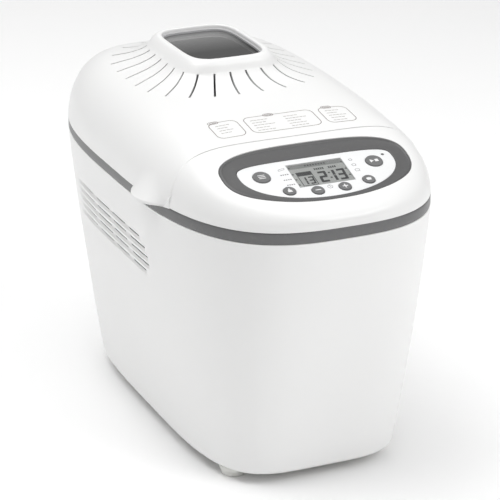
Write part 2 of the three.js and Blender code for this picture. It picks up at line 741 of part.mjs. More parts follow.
add('display_window', onPanel(block(-displayHalfWidth, -displayHalfHeight, -fasciaDepth - fasciaThickness,
  displayHalfWidth, displayHalfHeight, -fasciaDepth)), clearGlass);
const moduleTop = -fasciaDepth - fasciaThickness - gap;
add('lcd_module', onPanel(block(-26, -15.2, -9.6, 26, 17, moduleTop)), blackPlastic);
add('status_lens', onPanel(rod(1.2, ...lensAt, -6, -fasciaDepth + 0.1, 10)), darkGreyPlastic);

for (const [name, s, t, radius] of buttons) {
  const top = -fasciaDepth + 1.1;
  const profile = [
    [0, -7.4], [radius - 2, -7.4], [radius + 1.2, -4.4], [radius + 1.2, -3.9],
    [radius, -3.9], [radius, top],
    [0, top],
  ];
  add(name, onPanel(turned(profile, s, t, 12)), darkGreyPlastic);
}

const boardTop = -10;
add('control_board', onPanel(block(-58, -27, boardTop - 1.6, 58, 20, boardTop)), circuit);
add('power_board', block(-45, -169.6, 110, 45, -168, 205), circuit);

// ---------------------------------------------------------------------------
// Lid with its window chimney
// ---------------------------------------------------------------------------
// Rings of the flared chimney: distance out from the opening, and height over the dome.
const flare = [
  [1.2, 19.4], [3.8, 19.4], [6, 17.8], [9, 13.9], [12, 10], [15, 7.4], [20, 4.6], [28, 2], [45, -1.6],
];
const chimneyBase = rimHeight - 19.4;

function flareRing(out, lift, count = 32) {
  const blend = THREE.MathUtils.smoothstep(out, 8, 26);
  const power = 4.5 - 1.3 * blend;
  const outline = roundedOutline(windowHalfWidth + out, windowHalfDepth + 0.9 * out, power, power, count);
  return outline.map((p) => {
    const onDome = domeTop(p.x, p.y + chimneyY);
    const base = THREE.MathUtils.lerp(chimneyBase, onDome, blend);
    return new THREE.Vector3(p.x, p.y + chimneyY, base + lift);
  });
}

function chimneySkin(inset) {
  const rings = flare.filter(([out]) => inset === 0 || out > 8).map(([out, lift]) => (
    flareRing(out - inset * 0.6, lift - inset)
  ));
  const foot = rings[rings.length - 1].map((p) => p.clone().setZ(domeFloor + 30));
  return solid(loft([...rings, foot]));
}

const windowPlug = (grow, z0, z1) => {
  const a = windowHalfWidth + grow;
  const b = windowHalfDepth + grow;
  return stack([[z0, a, b, chimneyY, 4.5], [z1, a, b, chimneyY, 4.5]], 32);
};

// Steam slots fan out round the chimney's foot.
const slotCount = 26;
function steamSlots() {
  const inner = roundedOutline(windowHalfWidth + 13, windowHalfDepth + 9.5, 4, 4, 4 * slotCount);
  const outer = roundedOutline(windowHalfWidth + 46.5, windowHalfDepth + 39, 3.1, 3.1, 4 * slotCount);
  const slots = [];
  for (let k = 0; k < slotCount; k += 1) {
    const from = inner[4 * k];
    const to = outer[4 * k];
    const middle = from.clone().add(to).multiplyScalar(0.5);
    const length = from.distanceTo(to);
    const angle = Math.atan2(to.y - from.y, to.x - from.x);
    const blade = new THREE.BoxGeometry(length, 1.8, 60).rotateZ(angle);
    slots.push(solid(blade.translate(middle.x, middle.y + chimneyY, 290)));
  }
  return slots;
}

// A lifting wing on each flank, swept out over the belt.
function lidTab(side) {
  const rings = [];
  const steps = 6;
  for (let k = 0; k <= steps; k += 1) {
    const y = -107 + (50 * k) / steps;
    const swell = Math.sin(Math.PI * THREE.MathUtils.clamp((k + 0.35) / (steps + 0.7), 0, 1)) ** 0.8;
    const flank = domeHalfWidth(y) - 4;
    const reach = flank + 3 + 13.5 * swell;
    const top = 243 + 10 * swell;
    const section = [
      [flank, top], [flank + 4.6, top - 2.4], [reach - 2, 241.6], [reach, 240],
      [reach - 0.6, 238.3], [reach - 3, 238],
      [flank + 1.6, 241], [flank, 242.4],
    ];
    rings.push(section.map(([x, z]) => new THREE.Vector3(side * x, y, z)));
  }
  return solid(loft(rings));
}

const knuckleHalf = 4;
function hingeEars() {
  const ears = [];
  for (const side of [-1, 1]) {
    for (const x of [side * hingeX - knuckleHalf - 4.5, side * hingeX + knuckleHalf + 0.6]) {
      const ear = sideProfile([
        [hingeY - 12, hingeZ - 4], [hingeY + 1.5, hingeZ - 4.2],
        [hingeY + 3.6, hingeZ - 2], [hingeY + 3.6, hingeZ + 2],
        [hingeY, hingeZ + 12], [hingeY - 12, hingeZ + 20],
      ], x, x + 3.9);
      ears.push(solid(ear));
    }
  }
  return ears;
}

const lidFloor = domeFloor + 0.9;
function lidShell() {
  const outer = join(domeSolid(0), chimneySkin(0));
  const underFlare = meet(chimneySkin(wall), solid(block(-120, -60, 240, 120, 200, 303.4)));
  const hollow = join(domeSolid(wall), underFlare);
  const ears = join(...hingeEars());
  const shell = join(cut(outer, hollow), meet(ears, domeSolid(1)), lidTab(-1), lidTab(1));
  const notches = [-1, 1].map((side) => (
    solid(block(side * hingeX - knuckleHalf - 0.6, hingeY - 12, domeFloor - 5, side * hingeX + knuckleHalf + 0.6,
      hingeY + 12, hingeZ + 7))
  ));
  const pins = [-1, 1].map((side) => solid(crossRod(2.3, side * hingeX - 12, side * hingeX + 12, hingeY, hingeZ)));
  const opening = join(solid(windowPlug(0, 260, 330)), solid(windowPlug(2, 260, 308.2)));
  return meet(cut(shell, opening, ...steamSlots(), ...notches, ...pins), lidRegion(seamGap, lidFloor));
}
add('lid_shell', lidShell(), whitePlastic);

add('window_glass', windowPlug(1.7, 304.4, 307.9), clearGlass);

// A clamp ring holds the pane up against its seat.
function windowFrame() {
  return cut(solid(windowPlug(5.5, 300.2, 303.1)), solid(windowPlug(-1.5, 290, 310)));
}
add('window_frame', windowFrame(), facePlastic);

// The inner lid: a pressed steel tray with a duct up to the window.
function lidLiner() {
  const skin = 1.2;
  const trayAt = (inset, low, high) => stack([
    [low, 82 - inset, 132 - inset], [258, 80 - inset, 130 - inset], [275, 77 - inset, 127.5 - inset, 39],
    [283.5 - inset, 60 - inset, 112 - inset, 42],
    [285.5 - inset, 33.5 - inset, 48.6 - inset, chimneyY, 4.5],
    [high, 33.5 - inset, 48.6 - inset, chimneyY, 4.5],
  ]);
  const flange = meet(meet(domeSolid(wall + 0.8), solid(block(-130, -240, lidFloor + 1, 130, 188, lidFloor + 2.4))),
    lidRegion(seamLean + seamGap, lidFloor));
  return cut(join(solid(trayAt(0, lidFloor + 1, 299.9)), flange), solid(trayAt(skin, lidFloor - 4, 305)));
}
add('lid_liner', lidLiner(), steel);

// Hinge: a knuckle on the deck at each side, a pin through it, and two ears of the lid on the pin.
for (const [name, side] of [['left', -1], ['right', 1]]) {
  const x = side * hingeX;
  const stem = solid(block(x - knuckleHalf, hingeY - 9.3, deckTop + gap,
    x + knuckleHalf, hingeY - 4.8, hingeZ));
  const shoulder = solid(block(x - knuckleHalf, hingeY - 9.3, beltTop + 0.6,
    x + knuckleHalf, hingeY, hingeZ));
  const foot = solid(block(x - 11, hingeY - 20, deckTop + gap, x + 11, hingeY - 5.4, deckTop + gap + 1.4));
  const knuckle = solid(crossRod(4.4, x - knuckleHalf, x + knuckleHalf, hingeY, hingeZ));
  const bore = solid(crossRod(2.3, x - 10, x + 10, hingeY, hingeZ));
  add(`hinge_bracket_${name}`, cut(join(stem, shoulder, foot, knuckle), bore), galvanised);
  add(`hinge_pin_${name}`, crossRod(2, x - 8.3, x + 8.3, hingeY, hingeZ), steel);
}

export default part;
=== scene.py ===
# Scene script for a bread machine: a white moulded casing and domed lid round a long two-paddle baking pan.
import math

import bpy
from mathutils import Matrix, Vector


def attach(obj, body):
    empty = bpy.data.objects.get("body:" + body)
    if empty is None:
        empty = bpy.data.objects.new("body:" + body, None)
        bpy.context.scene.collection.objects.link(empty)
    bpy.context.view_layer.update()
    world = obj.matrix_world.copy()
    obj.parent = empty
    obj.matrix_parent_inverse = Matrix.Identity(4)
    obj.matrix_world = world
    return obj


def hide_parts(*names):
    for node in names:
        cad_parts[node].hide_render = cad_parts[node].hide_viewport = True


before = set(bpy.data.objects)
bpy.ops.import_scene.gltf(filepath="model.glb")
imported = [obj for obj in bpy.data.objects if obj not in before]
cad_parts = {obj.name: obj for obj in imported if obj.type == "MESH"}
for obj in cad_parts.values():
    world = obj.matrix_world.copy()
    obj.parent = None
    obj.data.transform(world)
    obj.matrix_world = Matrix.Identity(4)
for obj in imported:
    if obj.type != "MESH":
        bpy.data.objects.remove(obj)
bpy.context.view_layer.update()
bpy.ops.object.select_all(action="DESELECT")

# Studio.
# A plain white floor under a white sky, with a key light at the front right, two overhead boxes
# and a weak fill at the left. The camera stands at the front left, above the machine.
camera_turn = math.radians(23.680)
camera_rise = math.radians(21.405)
camera_distance = 2.1872
camera_target = Vector((0.0261, 0.0411, 0.1228))
outwards = Vector((
    -math.sin(camera_turn) * math.cos(camera_rise),
    -math.cos(camera_turn) * math.cos(camera_rise),
    math.sin(camera_rise),
))
bpy.ops.object.camera_add(
    location=camera_target + outwards * camera_distance,
    rotation=(math.pi / 2 - camera_rise, 0, -camera_turn),
)
camera = bpy.context.object
camera.data.lens = 175.64
camera.data.sensor_width = 36
bpy.context.scene.camera = camera


def softbox(name, place, aim, size, power):
    bpy.ops.object.light_add(type="AREA", location=place)
    lamp = bpy.context.object
    lamp.name = name
    lamp.data.shape = "RECTANGLE"
    lamp.data.size, lamp.data.size_y = size
    lamp.data.energy = power
    lamp.rotation_euler = (Vector(aim) - Vector(place)).to_track_quat("-Z", "Y").to_euler()


softbox("key_light", (1.25, -1.7, 1.75), (0, 0, 0.1), (1.5, 1.5), 23)
softbox("top_light", (-0.3, 0.45, 2.3), (0, 0, 0.1), (2.2, 2.6), 25)
softbox("upper_left_light", (-0.8, 0.2, 2.2), (0, 0, 0.2), (1.2, 1.6), 12)
softbox("fill_light", (-2.3, -0.7, 1.1), (0, 0, 0.15), (1.6, 1.6), 1)

sky = bpy.data.worlds.new("studio_sky")
sky.use_nodes = True
sky.node_tree.nodes["Background"].inputs["Color"].default_value = (1, 1, 1, 1)
sky.node_tree.nodes["Background"].inputs["Strength"].default_value = 0.44
bpy.context.scene.world = sky
bpy.context.scene.view_settings.view_transform = "Standard"


# Every finish here is mixed from a few shared effects. Each is a shader group with named sockets.
def effect_group(name, inputs, outputs):
    group = bpy.data.node_groups.new(name, "ShaderNodeTree")
    for sockets, direction in ((inputs, "INPUT"), (outputs, "OUTPUT")):
        for label, kind in sockets.items():
            group.interface.new_socket(label, in_out=direction, socket_type="NodeSocket" + kind)
    return group, group.nodes.new("NodeGroupInput"), group.nodes.new("NodeGroupOutput")


def added(tree, kind, values=None):
    """A new node of the tree, with some of its inputs set."""
    node = tree.nodes.new("ShaderNode" + kind)
    for label, value in (values or {}).items():
        node.inputs[label].default_value = value
    return node


def wired(tree, *pairs):
    """Links each output to its input."""
    for output, socket in pairs:
        tree.links.new(output, socket)


def math_node(group, operation, first, second):
    """A math node of the group: each term is a socket or a plain number."""
    node = group.nodes.new("ShaderNodeMath")
    node.operation = operation
    for socket, term in zip(node.inputs, (first, second)):
        if isinstance(term, (int, float)):
            socket.default_value = term
        else:
            group.links.new(term, socket)
    return node.outputs[0]


def blended(tree):
    """A node that blends two colours by a factor."""
    node = tree.nodes.new("ShaderNodeMix")
    node.data_type = "RGBA"
    return node


# Slow, faint changes of tone and gloss, as moulded plastic and painted metal show in even light.
uneven_finish, entry, leave = effect_group(
    "uneven_finish",
    {"Vector": "Vector", "Patches": "Float", "Color": "Color", "Tone Change": "Float", "Roughness": "Float",
     "Gloss Change": "Float"},
    {"Color": "Color", "Roughness": "Float"},
)
patches = added(uneven_finish, "TexNoise", {"Detail": 3})
tone = added(uneven_finish, "HueSaturation")
swing = math_node(uneven_finish, "SUBTRACT", patches.outputs["Fac"], 0.5)
darker = math_node(uneven_finish, "MULTIPLY", swing, entry.outputs["Tone Change"])
duller = math_node(uneven_finish, "MULTIPLY", swing, entry.outputs["Gloss Change"])
wired(
    uneven_finish,
    (entry.outputs["Vector"], patches.inputs["Vector"]),
    (entry.outputs["Patches"], patches.inputs["Scale"]),
    (math_node(uneven_finish, "ADD", darker, 1.0), tone.inputs["Value"]),
    (entry.outputs["Color"], tone.inputs["Color"]),
    (tone.outputs["Color"], leave.inputs["Color"]),
    (math_node(uneven_finish, "ADD", duller, entry.outputs["Roughness"]), leave.inputs["Roughness"]),
)

# The fine texture of a spark-eroded mould, as a height.
mould_grain, entry, leave = effect_group(
    "mould_grain", {"Vector": "Vector", "Grains": "Float"}, {"Height": "Float"})
coarse = added(mould_grain, "TexNoise", {"Detail": 2})
fine = added(mould_grain, "TexVoronoi")
wired(
    mould_grain,
    (entry.outputs["Vector"], coarse.inputs["Vector"]),
    (entry.outputs["Vector"], fine.inputs["Vector"]),
    (entry.outputs["Grains"], coarse.inputs["Scale"]),
    (math_node(mould_grain, "MULTIPLY", entry.outputs["Grains"], 1.7), fine.inputs["Scale"]),
    (math_node(mould_grain, "ADD", coarse.outputs["Fac"], fine.outputs["Distance"]), leave.inputs["Height"]),
)

# A thin scatter of pale, warm dust.
settled_dust, entry, leave = effect_group(
    "settled_dust", {"Vector": "Vector", "Color": "Color", "Dust": "Float"}, {"Color": "Color"})
motes = added(settled_dust, "TexNoise", {"Scale": 260, "Detail": 6})
gathered = added(settled_dust, "MapRange", {"From Min": 0.55, "From Max": 0.8})
dusted = blended(settled_dust)
dusted.inputs["B"].default_value = (0.55, 0.52, 0.47, 1)
amount = math_node(settled_dust, "MULTIPLY", gathered.outputs["Result"], entry.outputs["Dust"])
wired(
    settled_dust,
    (entry.outputs["Vector"], motes.inputs["Vector"]),
    (motes.outputs["Fac"], gathered.inputs["Value"]),
    (amount, dusted.inputs["Factor"]),
    (entry.outputs["Color"], dusted.inputs["A"]),
    (dusted.outputs["Result"], leave.inputs["Color"]),
)


def placed_group(material, group, values, vector):
    """The effect placed in a material. Each value is a socket to link or a value to set."""
    node = material.node_tree.nodes.new("ShaderNodeGroup")
    node.node_tree = group
    material.node_tree.links.new(vector, node.inputs["Vector"])
    for label, value in values.items():
        if isinstance(value, bpy.types.NodeSocket):
            material.node_tree.links.new(value, node.inputs[label])
        else:
            node.inputs[label].default_value = value
    return node


def new_material(name):
    """A material, with its shader and its object coordinates."""
    material = bpy.data.materials.new(name)
    material.use_nodes = True
    nodes = material.node_tree.nodes
    return material, nodes["Principled BSDF"], nodes.new("ShaderNodeTexCoord").outputs["Object"]


def feed(material, shader, color, roughness, height=None, depth=0.00001):
    """Feeds the shader with an effect's colour and roughness, and with bumps if it has any."""
    wired(material.node_tree, (color, shader.inputs["Base Color"]), (roughness, shader.inputs["Roughness"]))
    if height is not None:
        bump = added(material.node_tree, "Bump", {"Distance": depth})
        wired(material.node_tree, (height, bump.inputs["Height"]))
        wired(material.node_tree, (bump.outputs["Normal"], shader.inputs["Normal"]))


def moulded_plastic(name, color, roughness, grain=1400, depth=0.000012, tone=0.03, dust=0.0, coat=0.0):
    """Moulded plastic: an even colour, a faint grain and slow changes of gloss."""
    material, shader, where = new_material(name)
    uneven = placed_group(material, uneven_finish, {
        "Patches": 9.0, "Color": (*color, 1), "Tone Change": tone, "Roughness": roughness, "Gloss Change": 0.12,
    }, where)
    dusty = placed_group(material, settled_dust, {"Color": uneven.outputs["Color"], "Dust": dust}, where)
    grains = placed_group(material, mould_grain, {"Grains": float(grain)}, where)
    feed(material, shader, dusty.outputs["Color"], uneven.outputs["Roughness"], grains.outputs["Height"], depth)
    shader.inputs["Coat Weight"].default_value = coat
    shader.inputs["Coat Roughness"].default_value = 0.12
    return material


floor_finish = moulded_plastic("studio_floor_finish", (1, 1, 1), 0.9, grain=90, depth=0.00002, tone=0.006)
bpy.ops.mesh.primitive_circle_add(vertices=96, radius=6, fill_type="NGON")
floor = bpy.context.object
floor.name = "studio_floor"
floor.data.materials.append(floor_finish)

# Feet.
# Four soft pads, off-white, pressed into sockets under the base. They taper to a rounded tread.
corner_signs = {"front_left": (-1, -1), "front_right": (1, -1), "rear_left": (-1, 1), "rear_right": (1, 1)}
foot_places = (66, 134)
foot_profile = [
    (0, 0.5), (7.6, 0.5), (8, 0.1), (8.8, 0), (9.5, 0.4), (10, 1.2), (10.9, 4.6), (11.4, 5.1), (11.4, 6),
    (12, 6.5), (12, 9), (0, 9),
]


def welded():
    """From edit mode: merges doubled points, turns the faces outwards and goes back to object mode."""
    bpy.ops.mesh.select_all(action="SELECT")
    bpy.ops.mesh.remove_doubles(threshold=0.000002)
    bpy.ops.mesh.select_all(action="SELECT")
    bpy.ops.mesh.normals_make_consistent(inside=False)
    bpy.ops.object.mode_set(mode="OBJECT")


def spun(name, profile, centre=(0, 0, 0), turn=None):
    """A turned piece: (radius, height) points are drawn as an edge chain, then spun about the upright axis."""
    bpy.ops.object.select_all(action="DESELECT")
    bpy.ops.mesh.primitive_plane_add(size=0.001)
    piece = bpy.context.object
    piece.name = name
    bpy.ops.object.mode_set(mode="EDIT")
    bpy.ops.mesh.merge(type="CENTER")
    here = Vector((0, 0, 0))
    for place, (radius, height) in enumerate(profile):
        there = Vector((radius, 0, height)) / 1000
        if place == 0:
            bpy.ops.transform.translate(value=there)
        else:
            bpy.ops.mesh.extrude_vertices_move(TRANSFORM_OT_translate={"value": there - here})
        here = there
    bpy.ops.mesh.select_all(action="SELECT")
    bpy.ops.mesh.spin(steps=40, angle=2 * math.pi, center=(0, 0, 0), axis=(0, 0, 1))
    welded()
    settled = Matrix.Translation(Vector(centre) / 1000)
    piece.data.transform(settled @ turn if turn else settled)
    bpy.ops.object.shade_smooth_by_angle(angle=math.radians(32))
    return piece


pale_plastic = moulded_plastic(
    "pale_plastic_finish", (0.76, 0.76, 0.73), 0.55, grain=1100, depth=0.00002, dust=0.1)
for corner, (side, end) in corner_signs.items():
    foot = spun(f"foot_{corner}_pad", foot_profile, (side * foot_places[0], end * foot_places[1], 0))
    foot.data.materials.append(pale_plastic)
    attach(foot, "casing")
    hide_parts(f"foot_{corner}")

# Casing.
# One deep white moulding, wider at the belt than at the foot. Each flank has five scooped rows of
# air slots, and the top edge is stepped in to take the belt.
foot_height = 9
belt_bottom = 227.2
belt_top = 237
casing_foot = (90.5, 172.8, 4.34, 3.94)
casing_belt = (120, 211.2, 2.876, 3.211)
neck_inset = 3
foot_edge = 5
wall = 2.4
side_end = 118
corner_steps = 44
vent_rows = {190.5: -47, 183: -57, 175.5: -60.5, 168.5: -61.4, 161: -53}
vent_dashes = [(-62, -25), (-15, 15), (22, 55), (64, 98)]
vent_rear = 104
vent_depth = 1.6
side_stations = sorted([
    -118, -108, -98, -88, -80, -74, -70, -66, -62, -40, -32, -25, -20, -15, -8, 0, 8, 15, 18.5, 22, 30, 38,
    47, 55, 59, 64, 72, 81, 90, 98, 101, 104, 109, 114, 118, *vent_rows.values()])


def mixed(low, high, share):
    return low + (high - low) * share


def between(value, low, high):
    """0 below low, 1 above high, and a smooth run from one to the other."""
    share = min(max((value - low) / (high - low), 0), 1)
    return share * share * (3 - 2 * share)


def casing_plan(z, inset=0):
    """Half width, half depth and the two powers of the casing's outline at a height."""
    rise = min(max((z - foot_height) / (belt_bottom - foot_height), 0), 1)
    grow = 1 - (1 - rise) ** 1.095
    sizes = [mixed(foot, belt, grow) - inset for foot, belt in zip(casing_foot[:2], casing_belt[:2])]
    powers = [mixed(foot, belt, rise) for foot, belt in zip(casing_foot[2:], casing_belt[2:])]
    return (*sizes, *powers)


def evenly(points, count):
    """count + 1 points, evenly spaced along a fine line of points."""
    lengths = [0]
    for before, after in zip(points, points[1:]):
        lengths.append(lengths[-1] + math.dist(before, after))
    spaced = []
    place = 1
    for step in range(count + 1):
        want = lengths[-1] * step / count
        while place < len(lengths) - 1 and lengths[place] < want:
            place += 1
        share = (want - lengths[place - 1]) / max(lengths[place] - lengths[place - 1], 1e-9)
        spaced.append(tuple(mixed(p, q, share) for p, q in zip(points[place - 1], points[place])))
    return spaced


def casing_ring(z, inset=0, height=None, scoop=None):
    """One closed level of the casing, anticlockwise from the right flank's front end."""
    half_width, half_depth, round_x, round_y = casing_plan(z, inset)
    height = z if height is None else height
    flank = []
    for y in side_stations:
        x = half_width * (1 - abs(y / half_depth) ** round_y) ** (1 / round_x)
        flank.append((x - (scoop(y) if scoop else 0), y, height))
    start = math.asin((side_end / half_depth) ** (round_y / 2))
    bend = []
    for step in range(241):
        angle = mixed(start, math.pi / 2, step / 240)
        x = half_width * max(math.cos(angle), 0) ** (2 / round_x)
        bend.append((x, half_depth * math.sin(angle) ** (2 / round_y), height))
    rear = evenly(bend, corner_steps)
    ring = flank + rear[1:]
    ring += [(-x, y, h) for x, y, h in reversed(rear[:-1])]
    ring += [(-x, y, h) for x, y, h in reversed(flank[:-1])]
    ring += [(-x, -y, h) for x, y, h in rear[1:]]
    ring += [(x, -y, h) for x, y, h in reversed(rear[:-1])]
    return ring


def wrapped(name, rings, holes=None):
    """A grid primitive wrapped over rings of points. holes(column, row) says which faces are left open."""
    columns = len(rings[0])
    bpy.ops.object.select_all(action="DESELECT")
    bpy.ops.mesh.primitive_grid_add(x_subdivisions=columns - 1, y_subdivisions=len(rings) - 1, size=1)
    piece = bpy.context.object
    piece.name = name
    points = [coordinate / 1000 for ring in rings for point in ring for coordinate in point]
    piece.data.vertices.foreach_set("co", points)
    if holes:
        select_faces(piece, lambda face: holes(*corner_of(face, columns)))
        bpy.ops.object.mode_set(mode="EDIT")
        bpy.ops.mesh.delete(type="FACE")
        bpy.ops.object.mode_set(mode="OBJECT")
    bpy.ops.object.mode_set(mode="EDIT")
    welded()
    return piece


def corner_of(face, columns):
    """The grid column and row of a face."""
    return min(v % columns for v in face.vertices), min(v // columns for v in face.vertices)


def select_faces(piece, chosen):
    """Selects the faces that the test picks, and nothing else."""
    for group in (piece.data.vertices, piece.data.edges):
        group.foreach_set("select", [False] * len(group))
    piece.data.polygons.foreach_set("select", [bool(chosen(face)) for face in piece.data.polygons])


def thicken(piece, thickness, offset=-1.0):
    modifier = piece.modifiers.new("thickness", "SOLIDIFY")
    modifier.thickness = thickness / 1000
    modifier.offset = offset
    apply(piece, modifier)


def apply(piece, modifier):
    bpy.context.view_layer.objects.active = piece
    bpy.ops.object.modifier_apply(modifier=modifier.name)


def smooth(piece, degrees=32):
    bpy.ops.object.select_all(action="DESELECT")
    piece.select_set(True)
    bpy.context.view_layer.objects.active = piece
    bpy.ops.object.shade_smooth_by_angle(angle=math.radians(degrees))


def finished(piece, material, degrees=32):
    smooth(piece, degrees)
    piece.data.materials.append(material)


def drill(radius, centre, depth, lying=False):
    """A round cutter, upright or lying along Y."""
    bpy.ops.object.select_all(action="DESELECT")
    bpy.ops.mesh.primitive_cylinder_add(
        vertices=32 if lying else 48, radius=radius / 1000, depth=depth / 1000,
        location=[value / 1000 for value in centre], rotation=(math.pi / 2 if lying else 0, 0, 0))
    return bpy.context.object


def cut_away(piece, *tools):
    for tool in tools:
        modifier = piece.modifiers.new("cut", "BOOLEAN")
        modifier.object = tool
        modifier.solver = "EXACT"
        apply(piece, modifier)
        bpy.data.objects.remove(tool)


def scoop_of(front):
    return lambda y: vent_depth * between(y, front - 5, front) * (1 - between(y, vent_rear, vent_rear + 8))


levels = [(foot_height, 7.2, None), (foot_height, foot_edge, None)]
for step in range(1, 9):
    angle = step / 8 * math.pi / 2
    levels.append((foot_height + foot_edge * (1 - math.cos(angle)), foot_edge * (1 - math.sin(angle)), None))
levels += [(z, 0, None) for z in (20, 30, 42, 55, 70, 85, 100, 115, 130, 142, 150, 154)]
slot_rows = {}    # the row of faces that each line of air slots opens, with the line's front end
for z, front in sorted(vent_rows.items()):
    levels += [(z - 3.9, 0, None), (z - 2.8, 0, (front, 0.6)), (z - 1.7, 0, (front, 1))]
    slot_rows[len(levels) - 1] = front
    levels += [(z + 1.1, 0, (front, 1)), (z + 1.25, 0, None)]
levels += [(z, 0, None) for z in (196, 203, 211, 219, 225, 226.8)]
levels += [(belt_bottom, 0.4, None), (belt_bottom, neck_inset, None)]
casing_rings = []
for z, inset, scoop in levels:
    shape = (lambda y, s=scoop: s[1] * scoop_of(s[0])(y)) if scoop else None
    casing_rings.append(casing_ring(z, inset, scoop=shape))
casing_rings.append(casing_ring(belt_bottom, neck_inset, height=belt_top))


def is_air_slot(column, row):
    if row not in slot_rows:
        return False
    ring = casing_rings[row]
    y = (ring[column][1] + ring[column + 1][1]) / 2
    return abs(ring[column][0]) > 60 and y > slot_rows[row] and any(a < y < b for a, b in vent_dashes)


white_plastic = moulded_plastic("white_casing_finish", (0.86, 0.86, 0.855), 0.34, tone=0.02, coat=0.12)
casing = wrapped("casing_shell", casing_rings, is_air_slot)
thicken(casing, wall)
finished(casing, white_plastic)
cut_away(casing, drill(7.3, (40, 184, 36), 60, lying=True))
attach(casing, "casing")
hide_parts("body_shell")

# Belt.
# A satin grey band, moulded separately and sprung over the casing's stepped neck.
belt_section = [
    (227.5, 2.7), (227.5, 0.6), (227.75, 0.2), (228.3, 0), (231, 0), (234, 0), (235.9, 0), (236.6, 0.25),
    (236.9, 0.6), (237, 1), (237, 2.7), (227.5, 2.7),
]
grey_plastic = moulded_plastic("belt_finish", (0.14, 0.141, 0.143), 0.36, grain=1500, tone=0.05, dust=0.06)
belt = wrapped("belt_band", [casing_ring(belt_bottom, inset, height=z) for z, inset in belt_section])
finished(belt, grey_plastic)
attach(belt, "casing")
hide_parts("belt_trim")

# Lid.
# A white domed moulding. Its window chimney flares out of the dome, 26 steam slots fan round the
# chimney's foot, and each flank is swept out into a lifting tab over the belt.
plan_half_width, plan_half_depth, plan_round_x, plan_round_y = casing_belt
dome_floor = 237.3
lid_floor = 238.2
window_half = (34, 49.1)
chimney_y = 65.9
chimney_base = 294.5
slot_count = 26
slot_half_width = 0.95
lines_between = 10
corner_share = 22.6 / slot_count * 4
seam_back = -114.4
chimney_rows = [
    (2, 9.3), (2, 13.7), (0, 13.7), (0, 17.7), (0.12, 18.4), (0.5, 19.0), (1.2, 19.35), (2.2, 19.4),
    (3.2, 19.38), (4.0, 19.15), (4.9, 18.55), (5.9, 17.7), (6.9, 16.6), (7.9, 15.35), (8.9, 14.0), (9.9, 12.6),
    (10.9, 11.3), (11.9, 10.05),
]
foot_lifts = [(13, 8.9), (15, 7.3), (17.5, 5.8), (21, 4.2), (27, 2.2), (34, 0.85), (42, 0.1), (60, 0)]
slot_steps = 22
flank_steps = 40
tab_ends = (-109, -55)
tab_reach = 12.4


def dome_half_width(y):
    return plan_half_width * max(1 - abs(y / plan_half_depth) ** plan_round_y, 0) ** (1 / plan_round_x)


def dome_top(x, y):
    """The dome's height over the floor: a boxy arch over the panel, rounder over the window."""
    h = y / 100
    ridge = 56.17 + 3.515 * h - 3.28 * h ** 2 + 1.946 * h ** 3
    reach = min(abs(y) / plan_half_depth, 1)
    crown = ridge * ((1 - reach ** 3) ** (1 / 6) if y < 0 else (1 - reach ** 6.8) ** (1 / 1.3))
    boxiness = 7.68 - 3.04 * between(y, -170, -60)
    share = min(abs(x) / max(dome_half_width(y), 0.001), 1)
    return dome_floor + crown * (1 - share ** boxiness) ** (1 / 1.774)


def oval_quarter(half_width, half_depth, power):
    """A quarter oval as fine points, each with its share of the way round."""
    points, runs = [(half_width, 0)], [0]
    for step in range(1, 401):
        angle = step / 400 * math.pi / 2
        x = half_width * max(math.cos(angle), 0) ** (2 / power)
        y = half_depth * math.sin(angle) ** (2 / power)
        runs.append(runs[-1] + math.dist((x, y), points[-1]))
        points.append((x, y))
    return points, [run / runs[-1] for run in runs], runs[-1]


def along(quarter, share, sideways=0):
    """The point at a share (0 to 4, anticlockwise from +X) of a whole oval, then moved along by a distance."""
    points, shares, length = quarter
    share = (share + sideways / length) % 4
    turn = int(share)
    within = share % 1 if turn % 2 == 0 else 1 - share % 1
    place = 1
    while place < len(shares) - 1 and shares[place] < within:
        place += 1
    part = (within - shares[place - 1]) / (shares[place] - shares[place - 1])
    x, y = (mixed(p, q, part) for p, q in zip(points[place - 1], points[place]))
    return (x if turn in (0, 3) else -x), (y if turn in (0, 1) else -y)


def interpolated(table, value):
    for (x0, y0), (x1, y1) in zip(table, table[1:]):
        if value <= x1:
            return mixed(y0, y1, (value - x0) / (x1 - x0))
    return table[-1][1]


def belt_run(from_y, to_y, height, steps=200):
    """Fine points of the dome's springing line on the right flank."""
    points = []
    for step in range(steps + 1):
        low, high = (
            math.copysign(math.asin(abs(y / plan_half_depth) ** (plan_round_y / 2)), y) for y in (from_y, to_y))
        angle = mixed(low, high, step / steps)
        y = math.copysign(plan_half_depth * abs(math.sin(angle)) ** (2 / plan_round_y), angle)
        points.append((dome_half_width(y), y, height))
    return points


def seam_run(behind, floor, steps=400):
    """Fine points along the seam, from the ridge down the right flank: it leans forward below the shoulder."""
    points = []
    for step in range(steps + 1):
        x = dome_half_width(behind - 4) * (1 - (1 - step / steps) ** 3)
        z = dome_top(x, behind)
        y = behind - 4 + 4 * min(max((z - 250) / 24, 0), 1)
        points.append((x, y, max(z, floor)))
    return points


def border_finder(runs):
    """runs is a list of (first share, last share, fine points) on the right side; the left is mirrored."""
    tables = []
    for first, last, points in runs:
        tables.append((first, last, evenly(points, 400)))

    def find(share):
        share %= 4
        mirrored = 1 < share < 3
        right = (2 - share) % 4 if mirrored else share
        for first, last, points in tables:
            if first - 1e-6 <= right <= last + 1e-6:
                place = (right - first) / (last - first) * (len(points) - 1)
                low = min(int(place), len(points) - 2)
                found = [mixed(p, q, place - low) for p, q in zip(points[low], points[low + 1])]
                return (-found[0] if mirrored else found[0]), found[1], found[2]
        raise ValueError(share)
    return find


